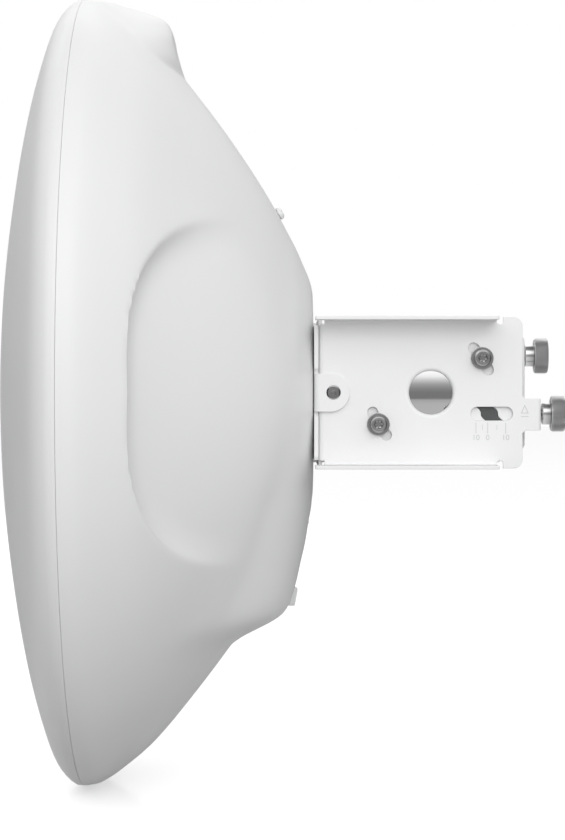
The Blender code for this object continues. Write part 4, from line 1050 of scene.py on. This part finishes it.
def build_frame():
    """Azimuth frame: two sides and two bridges with rounded corners."""
    solids = []
    for sign in (-1, 1):
        holes = [circle((0, 0), COLLAR_R + 0.3, 96), pointer_outline(0.3),
                 circle((ELEVATION_NUT.x, ELEVATION_NUT.z), 2.15, 32)]
        holes += [circle(polar(angle), M5_R + 0.3, 32) for angle in SLOT_ANGLES]
        side = rounded_box(*FRAME_SIDE_X, -FRAME_TOP_Z[1], FRAME_TOP_Z[1], 5.0)
        solids.append(upright([side, *holes], FRAME_SIDE_Y[1], sign, FRAME_SIDE_Y[1] - FRAME_SIDE_Y[0]))
    half = FRAME_SIDE_Y[1] - 0.05
    for sign in (-1, 1):
        holes = [circle((0, 0), PIVOT_PIN_R + 0.3, 64), circle((AZIMUTH_NUT.x, AZIMUTH_NUT.y), 2.15, 32)]
        holes += [circle(polar(angle, LOCK_RADIUS), M5_R + 0.3, 32) for angle in LOCK_ANGLES]
        flat = plate([rounded_box(*FRAME_TOP_X, -half, half, 1.5, 5), *holes],
                     FRAME_TOP_Z[1] - FRAME_TOP_Z[0])
        lift = FRAME_TOP_Z[0] if sign > 0 else -FRAME_TOP_Z[1]
        solids.append(placed(flat, at(0, 0, lift)))
    joined = carved(solids[0], [solids[2], solids[3], solids[1]], "UNION")
    section = rounded_box(-FRAME_SIDE_Y[1], FRAME_SIDE_Y[1], -FRAME_TOP_Z[1], FRAME_TOP_Z[1], 2.6, 8)
    sleeve = lofted([[(x, y, z) for y, z in section] for x in (-40.0, 46.0)])
    piece("gimbal_frame", carved(joined, [sleeve], "INTERSECT"), COATED, ["azimuth_frame"],
          body="azimuth_frame", smooth=40)
    for number, sign in enumerate((-1, 1), 1):
        pointer = upright([pointer_outline(0.0)], FRAME_SIDE_Y[1] - 0.1, sign, 1.6, 0.2)
        piece(f"pointer_{number}", pointer, POINTER_GREY, [f"elevation_pointer_{number}"],
              body="azimuth_frame")


def build_pole_bracket():
    """Pole bracket: a channel with a V seat, band slots and slotted arms."""
    rear = WEB_X[1]
    inner = WEB_X[0]
    sheet = rear - inner
    seat = [(rear, V_HALF), (rear - V_DEPTH, V_FLOOR_HALF), (rear - V_DEPTH, -V_FLOOR_HALF),
            (rear, -V_HALF)]
    back = [(x - sheet, y + math.copysign(0.6, y)) for x, y in seat[::-1]]
    web = [(rear, WEB_Y), *seat, (rear, -WEB_Y), (inner, -WEB_Y), *back, (inner, WEB_Y)]
    web = rounded(web, 0.8, 3, True)
    channel = placed(plate([web], 2 * ARM_Z[1], 0.4), at(0, 0, -ARM_Z[1]))
    arm = [(rear - 0.1, WEB_Y - 0.1), *[(x - 0.2, y) for x, y in seat], (rear - 0.1, -WEB_Y + 0.1),
           (30.0, -WEB_Y + 0.1), (12.0, -28.0), *arc((0, 0), 15.0, 255, 105, 40), (12.0, 28.0),
           (30.0, WEB_Y - 0.1)]
    holes = [circle((0, 0), PIVOT_PIN_R + 0.25, 64)]
    holes += [arc_slot(angle, LOCK_RADIUS, LOCK_TRAVEL, M5_R + 0.4) for angle in LOCK_ANGLES]
    thickness = ARM_Z[1] - ARM_Z[0]
    flat = plate([arm, *holes], thickness, 0.3)
    arms = [placed(flat, at(0, 0, ARM_Z[0] - 0.02)), placed(flat, at(0, 0, 0.02 - ARM_Z[1]))]
    wide, tall = BAND_SLOT
    slots = [placed(plate([rounded_box(y - wide / 2, y + wide / 2, z - tall / 2, z + tall / 2, 1.2)],
                          14, 0.01), at(inner - 6, 0, 0, YZ_PLANE))
             for y in (-BAND_SLOT_Y, BAND_SLOT_Y) for z in (-BAND_SLOT_Z, BAND_SLOT_Z)]
    slots.append(rod(M5_R + 0.4, 12, at(inner - 5, AZIMUTH_SCREW.y, AZIMUTH_SCREW.z, ALONG_X)))
    joined = carved(carved(channel, arms, "UNION"), slots)
    section = rounded_box(-20.0, rear, -ARM_Z[1], ARM_Z[1], 3.2, 10)
    sleeve = lofted([[(x, y, z) for x, z in section] for y in (-40.0, 40.0)])
    piece("pole_mount", carved(joined, [sleeve], "INTERSECT"), COATED, ["pole_bracket"],
          body="pole_bracket", smooth=40)
    pin = turned(rounded([(0.01, 1.8), (2.2, 1.8), (2.6, 1.4), (3.0, 1.8), (6.0, 1.8), (6.0, 0),
                          (PIVOT_PIN_R, 0), (PIVOT_PIN_R, -5.4), (0.01, -5.4)], 0.4, 3), 64)
    for number, place in enumerate((at(0, 0, ARM_Z[1] + 0.3), at(0, 0, -ARM_Z[1] - 0.3, UPSIDE_DOWN)), 1):
        piece(f"pivot_rivet_{number}", placed(pin, place), SCREW_STEEL, [f"azimuth_pivot_pin_{number}"],
              body="pole_bracket")


# ---------------------------------------------------------------- screws, washers, pins


def hexagon(across, height, segments=48):
    """A hexagonal loop with points at even turns."""
    points = []
    for k in range(segments):
        turn = 2 * math.pi * k / segments
        lean = (turn + math.pi / 6) % (math.pi / 3) - math.pi / 6
        reach = across / 2 / math.cos(lean)
        points.append((reach * math.cos(turn), reach * math.sin(turn), height))
    return points


def thread(radius, start, end, segments):
    """Loops of a helical thread between two heights, going down."""
    turns = [2 * math.pi * k / segments for k in range(segments)]
    rows = int(abs(end - start) / PITCH * 6)
    loops = []
    for i in range(rows + 1):
        height = start + (end - start) * i / rows
        fade = min(i / 6, (rows - i) / 6, 1.0)
        loop = []
        for t in turns:
            phase = (height / PITCH + t / (2 * math.pi)) % 1.0
            reach = radius - 0.42 * fade * (1 - abs(2 * phase - 1))
            loop.append((reach * math.cos(t), reach * math.sin(t), height))
        loops.append(loop)
    return loops


def cap_screw(length, head_r=4.25, head_h=5.0, flange=0.0):
    """A socket-head cap screw: its head sits above Z = 0 and its shank runs down."""
    segments = 48
    top = head_r - flange
    outer = [(M5_R, -0.6), (head_r - 0.2, 0.0), (head_r, 0.25)]
    if flange:
        outer += [(head_r, 1.2), (top + 0.4, 1.7), (top, 2.2)]
    outer += [(top, head_h - 0.75), (top - 0.12, head_h - 0.35), (top - 0.38, head_h - 0.1),
              (top - 0.75, head_h), (2.75, head_h)]
    loops = thread(M5_R, -length, -0.6, segments)
    loops = [[(x * 0.75, y * 0.75, -length) for x, y, _ in loops[0]]] + loops[1:]
    loops += rings(outer, segments)
    loops += [hexagon(4.5, head_h - 0.05), hexagon(4.05, head_h - 0.4), hexagon(4.0, head_h - 2.9)]
    loops += rings([(1.2, head_h - 3.5)], segments)
    return lofted(loops)


def flat_washer():
    """A flat washer on top of Z = 0, its outer edge stamped round."""
    return turned(rounded([(2.7, 0.9), (5.7, 0.9), (5.7, 0), (2.7, 0)], 0.3, 4, True), 72, ring=True)


def build_screws():
    """Cap screws, washers, plate screws and the pins in the ears."""
    count = 0
    screw = cap_screw(12)
    ring = flat_washer()
    for sign in (-1, 1):
        turn = ALONG_Y if sign > 0 else AGAINST_Y
        for angle in SLOT_ANGLES:
            count += 1
            x, z = polar(angle)
            spun = turn @ Matrix.Rotation(math.radians(9 + 13 * count), 4, "Z")
            piece(f"lock_screw_{count}", placed(screw, at(x, sign * (CHEEK_Y + 1.5), z, spun)),
                  SCREW_STEEL, [f"elevation_lock_screw_{count}"], body="azimuth_frame")
            piece(f"lock_washer_{count}", placed(ring, at(x, sign * (CHEEK_Y + 0.3), z, turn)),
                  SCREW_STEEL, [f"elevation_lock_washer_{count}"], body="azimuth_frame")
    count = 0
    screw = cap_screw(9, 5.2, 5.0, 1.2)
    for turn, sign in ((ALONG_Z, 1), (UPSIDE_DOWN, -1)):
        for angle in LOCK_ANGLES:
            count += 1
            x, y = polar(angle, LOCK_RADIUS)
            piece(f"swing_lock_{count}", placed(screw, at(x, y, sign * (ARM_Z[1] + 0.3), turn)),
                  SCREW_STEEL, [f"azimuth_lock_screw_{count}"], body="azimuth_frame")
    screw = cap_screw(22)
    for number, (y, z) in enumerate(PLATE_SCREWS, 1):
        piece(f"hub_screw_{number}", placed(screw, at(-55.0, y, z, ALONG_X)), SCREW_STEEL,
              [f"plate_screw_{number}"])
    pin = turned(rounded([(0.01, 0), (1.0, 0.0), (1.3, 0.25), (LOCK_PIN_R, 0.25), (LOCK_PIN_R, 9.0),
                          (0.01, 9.0)], 0.45, 4), 64)
    for number, sign in enumerate((-1, 1), 1):
        end = LOCK_PIN_X, sign * 56.9, 0
        piece(f"ear_pin_{number}", placed(pin, at(*end, ALONG_Y if sign < 0 else AGAINST_Y)), PIN_STEEL,
              [f"lock_pin_{number}"])


KNURL_CELLS = 36
KNURL_ROWS = 48
KNURL_SEGMENTS = KNURL_CELLS * 10
KNURL_DEPTH = 0.75


def knurl(start, end):
    """Loops of a thumb screw's diamond knurl with rounded ends."""
    pitch = 2 * math.pi * KNOB_R / KNURL_CELLS
    edge = 1.25
    loops = []
    for i in range(KNURL_ROWS + 1):
        height = start + (end - start) * i / KNURL_ROWS
        away = min(height - start, end - height)
        drop = edge - math.sqrt(max(edge ** 2 - (edge - min(away, edge)) ** 2, 0.0))
        bite = KNURL_DEPTH * min(away / 0.45, 1.0)
        loop = []
        for k in range(KNURL_SEGMENTS):
            turn = 2 * math.pi * k / KNURL_SEGMENTS
            around = KNURL_CELLS * k / KNURL_SEGMENTS
            first = abs(((around + height / pitch) % 1.0) * 2 - 1)
            second = abs(((around - height / pitch) % 1.0) * 2 - 1)
            reach = KNOB_R - drop - bite * max(1 - first, 1 - second)
            loop.append((reach * math.cos(turn), reach * math.sin(turn), height))
        loops.append(loop)
    return loops


def thumb_screw(seat, neck, head, reach):
    """A knurled thumb screw along X; its axis point is at zero and its tip points to -X."""
    start, end = head
    loops = rings([(0.6, -reach), (M5_R - 0.5, -reach + 0.1), (M5_R - 0.1, -reach + 0.9)], KNURL_SEGMENTS)
    loops += thread(M5_R, -reach + 0.9, seat - 0.3, KNURL_SEGMENTS)
    loops += rings([(M5_R, seat), (KNOB_NECK_R - 0.4, neck), (KNOB_NECK_R, neck + 0.4),
                    (KNOB_NECK_R, start - 0.5), (KNOB_NECK_R + 0.15, start - 0.15),
                    (KNOB_NECK_R + 0.5, start)], KNURL_SEGMENTS)
    loops += knurl(start, end)
    top = KNOB_R - 1.25
    loops += rings([(top - 1.4, end), (top - 1.8, end - 0.35), (1.2, end - 0.35), (0.3, end - 0.7)],
                   KNURL_SEGMENTS)
    return placed(lofted(loops), ALONG_X)


def cross_nut(half_length, stub):
    """A round nut with chamfered ends and one trunnion stub."""
    radius = 4.6
    profile = [(0.01, stub), (1.5, stub), (1.8, stub - 0.3), (1.8, half_length), (radius - 0.5, half_length),
               (radius, half_length - 0.5), (radius, -half_length + 0.5), (radius - 0.5, -half_length),
               (0.01, -half_length)]
    return turned(profile, 64)


def build_adjusters():
    """Both thumb screws, their clips and their nuts."""
    washer = turned(rounded([(M5_R + 0.3, 0.6), (4.4, 0.6), (4.4, -0.6), (M5_R + 0.3, -0.6)], 0.2, 2, True),
                    48, ring=True)
    clip = carved(washer.copy(), [block((M5_R - 0.5, 6.0), (-0.9, 0.9), (-2.0, 2.0))])
    lower = thumb_screw(1.2, 1.9, (6.3, 13.4), 47.5)
    piece("tilt_thumb_screw", placed(lower, Matrix.Translation(ELEVATION_SCREW)), KNOB_STEEL,
          ["elevation_thumb_screw"], body="elevation_screw", smooth=12, weighted=False)
    place = at(ELEVATION_SCREW.x - 2.6, ELEVATION_SCREW.y, ELEVATION_SCREW.z, ALONG_X)
    piece("swivel_washer", placed(washer, place), SCREW_STEEL, ["elevation_swivel_washer"],
          body="elevation_swivel")
    upper = thumb_screw(0.3, 0.3, (5.1, 12.1), 61.2)
    piece("swing_thumb_screw", placed(upper, Matrix.Translation(AZIMUTH_SCREW)), KNOB_STEEL,
          ["azimuth_thumb_screw"], body="azimuth_screw", smooth=12, weighted=False)
    place = at(AZIMUTH_SCREW.x - 3.2, AZIMUTH_SCREW.y, AZIMUTH_SCREW.z, ALONG_X)
    piece("retaining_clip", placed(clip, place), SCREW_STEEL, ["azimuth_retaining_clip"],
          body="azimuth_screw")
    half = FRAME_SIDE_Y[0] - 0.3 + ELEVATION_NUT.y
    bore = rod(M5_R + 0.45, 12, at(-6, 0, 0, ALONG_X), 40)
    nut = carved(placed(cross_nut(half, half + 2.0), AGAINST_Y), [bore])
    piece("tilt_nut", placed(nut, Matrix.Translation(ELEVATION_NUT)), BRASS, ["elevation_nut"],
          body="elevation_nut")
    nut = carved(cross_nut(5.0, FRAME_TOP_Z[1] - 0.4 - AZIMUTH_NUT.z), [bore])
    piece("swing_nut", placed(nut, Matrix.Translation(AZIMUTH_NUT)), BRASS, ["azimuth_nut"],
          body="azimuth_nut")


def build_can():
    """Polished radio can with a rolled end."""
    low, high = node_mm("radio_can")
    end = high.x
    wall = 1.5
    roll = 1.6
    outer = [(CAN_R, low.x)]
    outer += [(CAN_R - roll * (1 - math.cos(t)), end - roll + roll * math.sin(t))
              for t in np.radians(np.linspace(0, 90, 10))]
    inner = [(0.01, end), (0.01, end - wall), (CAN_R - wall, end - wall), (CAN_R - wall, low.x)]
    piece("radio_sleeve", placed(turned(outer + inner, 160, ring=True), ALONG_X), POLISHED,
          ["radio_can"], smooth=30)


def build_covers():
    """Polished covers folded over the can's two sides, behind the pivot windows."""
    for number, sign in ((1, -1), (2, 1)):
        low, high = node_mm(f"can_cover_{number}")
        reach = max(abs(low.y), abs(high.y))
        root = min(abs(low.y), abs(high.y))
        half = high.z
        sheet = 1.0
        spread = math.degrees(math.asin((half - 1.4) / reach))
        inner_spread = math.degrees(math.asin((half - 2.2) / (reach - sheet)))
        nose = reach * math.cos(math.radians(spread)) - 1.2
        outline = [(root, -half), *arc((nose - 0.2, 1.4 - half), 1.4, 270, 340, 6),
                   *arc((0, 0), reach, -spread, spread, 48), *arc((nose - 0.2, half - 1.4), 1.4, 20, 90, 6),
                   (root, half), (root, half - sheet)]
        outline += [*arc((0, 0), reach - sheet, inner_spread, -inner_spread, 48), (root, sheet - half)]
        loops = [[(x, sign * y, z) for y, z in inset(outline, d, False)]
                 for x, d in ((low.x, 0.12), (low.x + 0.12, 0.0), (high.x - 0.12, 0.0), (high.x, 0.12))]
        piece(f"side_cover_{number}", lofted(loops), POLISHED, [f"can_cover_{number}"], smooth=30)


def build_scale():
    """Printed elevation scale on both cheeks: ticks, figures, a triangle and a line."""
    x0, x1, z0, z1 = SCALE_WINDOW
    middle = x0 + 8.7
    base = z0 - 1.0
    raised = 0.05
    for number, sign in enumerate((-1, 1), 1):
        marks = []
        for offset, length, width in ((-6.0, 5.6, 0.34), (-2.6, 2.6, 0.22), (0.0, 5.6, 0.34),
                                      (4.6, 2.6, 0.22), (9.1, 5.6, 0.34)):
            x = middle + offset
            top = base - (1.2 if length < 4 else 0.0)
            marks.append([(x - width / 2, top - length), (x + width / 2, top - length),
                          (x + width / 2, top), (x - width / 2, top)])
        solids = [upright([mark], CHEEK_Y + raised - 0.001, sign, raised + 0.02, 0.01) for mark in marks]
        tip = x1 + 4.0
        peak = z1 + 1.2
        tri = [(tip, peak - 4.6), (tip + 4.0, peak - 4.6), (tip + 2.0, peak)]
        hole = [(tip + 0.62, peak - 4.2), (tip + 3.38, peak - 4.2), (tip + 2.0, peak - 1.0)]
        solids.append(upright([tri, hole], CHEEK_Y + raised - 0.001, sign, raised + 0.02, 0.01))
        bar = [(tip, peak - 6.3), (tip + 4.0, peak - 6.3), (tip + 4.0, peak - 5.95), (tip, peak - 5.95)]
        solids.append(upright([bar], CHEEK_Y + raised - 0.001, sign, raised + 0.02, 0.01))
        for text, x in (("10", middle - 6.0), ("0", middle), ("10", middle + 9.1)):
            curve = bpy.data.curves.new("figure", "FONT")
            curve.body = text
            curve.size = 3.9
            curve.align_x = "CENTER"
            curve.extrude = raised / 2
            shape = evaluated(linked("figure", curve))
            bpy.data.curves.remove(curve)
            turn = AGAINST_Y if sign < 0 else Matrix.Rotation(math.pi, 4, "Z") @ AGAINST_Y
            solids.append(placed(shape, at(x, sign * (CHEEK_Y + raised / 2), base - 8.9, turn)))
        piece(f"scale_print_{number}", together(*solids), INK, [])


# ---------------------------------------------------------------- electronics


def node_block(name, edge=0.0):
    """A box where a CAD node is."""
    low, high = node_mm(name)
    return block((low.x, high.x), (low.y, high.y), (low.z, high.z), edge)


def build_electronics():
    """Boards, sockets and modules, seen through the door and inside the dish."""
    low, high = node_mm("ethernet_jack")
    shell = carved(node_block("ethernet_jack", 0.35),
                   [block((-88.6, -78.5), (low.y + 1.5, high.y - 1.5), (low.z - 2, high.z - 2))])
    keyway = block((-79.0, -77.9), (-18.0, -14.0), (low.z - 2, high.z - 4))
    piece("network_socket", carved(shell, [keyway]), TINPLATE, ["ethernet_jack"])
    pins = [block((-88.55, -88.2), (y - 0.28, y + 0.28), (low.z + 1.5, high.z - 2.3))
            for y in np.linspace(-19.6, -12.4, 8)]
    piece("network_contacts", together(*pins), GOLD, [])
    low, high = node_mm("sfp_cage")
    cage = carved(node_block("sfp_cage", 0.25),
                  [block((-89.3, -80.8), (low.y + 0.8, high.y - 0.8), (low.z - 2, high.z - 2))])
    vents = [rod(0.9, 4, at(high.x - 2.0, y, z, ALONG_X), 20)
             for y in np.linspace(low.y + 3, high.y - 3, 4) for z in np.linspace(low.z + 12, high.z - 5, 5)]
    piece("fibre_cage", carved(cage, [together(*vents)]), TINPLATE, ["sfp_cage"])
    low, high = node_mm("port_board")
    board = bevelled(node_block("port_board"), 0.12, 2)
    piece("port_circuit", board, BOARD, ["port_board"])
    chips = [block((high.x + 0.02, high.x + 1.1), (y, y + w), (z, z + t), 0.12)
             for y, z, w, t in ((23.5, -84.0, 7.0, 7.0), (23.0, -74.0, 4.0, 5.0), (-32.0, -84.0, 4.5, 6.0),
                                (-6.0, -99.0, 6.0, 6.0), (-30.5, -92.0, 3.0, 2.0))]
    piece("port_chips", together(*chips), DARK, [])
    piece("light_pipe", node_block("status_light", 0.5), CLEAR, ["status_light"])
    low, high = node_mm("reset_button")
    radius = (high.y - low.y) / 2
    button = turned(rounded([(0.01, high.x - low.x), (radius - 0.1, high.x - low.x), (radius, 0),
                             (0.01, 0)], 0.4, 4), 48)
    piece("reset_cap", placed(button, at(low.x, (low.y + high.y) / 2, (low.z + high.z) / 2, ALONG_X)),
          DARK, ["reset_button"], body="reset_button")
    for name, finish in (("reflector", ALUMINIUM), ("feed_tube", ALUMINIUM), ("feed_cone", CERAMIC),
                         ("sub_reflector", ALUMINIUM), ("hub_casting", ALUMINIUM),
                         ("main_board", BOARD), ("rf_module", ALUMINIUM), ("heat_spreader", ALUMINIUM),
                         ("gps_antenna", CERAMIC), ("backup_antenna", BOARD), ("rim_gasket", RUBBER),
                         ("door_hinge_pin", SCREW_STEEL)):
        shown = frame["nodes"][name]
        for number in range(len(shown.data.materials)):
            shown.data.materials[number] = finish


for build in (build_radome, build_housing, build_vent, build_door, build_grommet, build_bracket, build_plate,
              build_frame, build_pole_bracket, build_screws, build_adjusters, build_can, build_covers,
              build_scale, build_electronics):
    build()

# ---------------------------------------------------------------- studio

scene = bpy.context.scene
scene.view_settings.view_transform = "Standard"
low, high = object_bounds()

# The camera, fitted to the photo: metres in front of the gimbal and to its left, and a lens in mm on a
# 36 mm sensor that is shifted down instead of tilted
CAMERA_FRONT = 1.342
CAMERA_LEFT = 0.0755
LENS = 108.5
LENS_SHIFT = -0.0326

# How bright the surround is by height: as the light that falls on the part, from the horizon to overhead,
# and as what polished metal mirrors, from straight below to overhead
LIGHT_STOPS = ((0.0, 0.10), (0.12, 0.14), (0.26, 0.30), (0.42, 0.72), (0.62, 0.98), (0.80, 0.72),
               (0.92, 0.22), (1.0, 0.12))
MIRROR_STOPS = ((0.0, 0.36), (0.275, 0.37), (0.365, 0.36), (0.4165, 0.30), (0.425, 0.145), (0.507, 0.15),
                (0.555, 0.20), (0.602, 0.285), (0.6485, 0.47), (0.694, 0.72), (0.7385, 0.82), (0.83, 1.0),
                (0.90, 0.5), (0.97, 0.12), (1.0, 0.10))


def backdrop_world():
    """White surround; what lights and mirrors in the part is dim at the horizon and bright above."""
    scene.world = bpy.data.worlds.new("studio")
    made = Tree(scene.world)
    split = made.node("SeparateXYZ")
    made.link(made.node("TexCoord").outputs["Generated"], split.inputs["Vector"])
    across, back, up = split.outputs

    def surround(height, stops, kind, strength):
        """A background whose grey changes with height and whose strength changes sideways."""
        greys = made.node("ValToRGB")
        greys.color_ramp.interpolation = kind
        while len(greys.color_ramp.elements) < len(stops):
            greys.color_ramp.elements.new(0.5)
        for element, (where, level) in zip(greys.color_ramp.elements, stops):
            element.position = where
            element.color = (level, level, level, 1.0)
        shade = made.node("Background")
        made.link(height, greys.inputs["Fac"])
        made.link(greys.outputs["Color"], shade.inputs["Color"])
        made.link(strength, shade.inputs["Strength"])
        return shade.outputs["Background"]

    light = surround(up, LIGHT_STOPS, "B_SPLINE", made.ramp(back, 1.85, 0.9, -1.0, 1.0))
    mirror = surround(made.ramp(up, 0.0, 1.0, -1.0, 1.0), MIRROR_STOPS, "LINEAR",
                      made.ramp(across, 2.0, 0.35, 0.25, 0.75))
    white = made.node("Background", {"Color": (1.0, 1.0, 1.0, 1.0), "Strength": 1.0})
    seen = made.either("Is Camera Ray", made.either("Is Glossy Ray", light, mirror),
                       white.outputs["Background"])
    made.link(seen, made.tree.nodes["World Output"].inputs["Surface"])


def studio_floor():
    """Pale glossy floor that the dish stands on; it throws little light back up."""
    finish = Finish("studio_floor", (0.90, 0.90, 0.90), 0.12)
    finish.shader.inputs["Emission Color"].default_value = (1.0, 1.0, 1.0, 1.0)
    finish.shader.inputs["Emission Strength"].default_value = 0.50
    dim = finish.node("BsdfDiffuse", {"Color": (0.38, 0.38, 0.38, 1.0)})
    seen = finish.either("Is Camera Ray", dim.outputs["BSDF"], finish.shader.outputs["BSDF"])
    finish.link(seen, finish.tree.nodes["Material Output"].inputs["Surface"])
    mesh = bpy.data.meshes.new("floor")
    reach = 14.0
    height = low.z - 0.0002
    mesh.from_pydata([(-reach, -reach, height), (reach, -reach, height), (reach, reach, height),
                      (-reach, reach, height)], [], [(0, 1, 2, 3)])
    mesh.materials.append(finish.made)
    floor = linked("floor", mesh)
    floor.visible_glossy = False


def softbox(name, place, target, width, height, power):
    """A rectangular soft light turned to face a point."""
    light = bpy.data.lights.new(name, "AREA")
    light.shape = "RECTANGLE"
    light.size = width
    light.size_y = height
    light.energy = power
    lamp = linked(name, light)
    lamp.location = place
    lamp.visible_glossy = False
    lamp.rotation_mode = "QUATERNION"
    lamp.rotation_quaternion = (Vector(target) - Vector(place)).to_track_quat("-Z", "Y")


backdrop_world()
studio_floor()
centre = (low + high) / 2
softbox("front_fill", (centre.x + 0.35, -2.6, 0.7), centre, 2.0, 1.6, 29.0)
softbox("low_fill", (centre.x + 1.3, -0.9, low.z + 0.15), centre, 1.2, 0.5, 2.0)
softbox("back_fill", (centre.x - 0.8, 2.6, 0.9), centre, 2.0, 1.6, 16.0)

camera = bpy.data.cameras.new("camera")
camera.lens = LENS
camera.sensor_width = 36.0
camera.shift_y = LENS_SHIFT
camera.clip_end = 60.0
viewer = linked("camera", camera)
viewer.location = (GIMBAL.x - CAMERA_LEFT, -CAMERA_FRONT, GIMBAL.z)
viewer.rotation_euler = (math.radians(90), 0, 0)
scene.camera = viewer
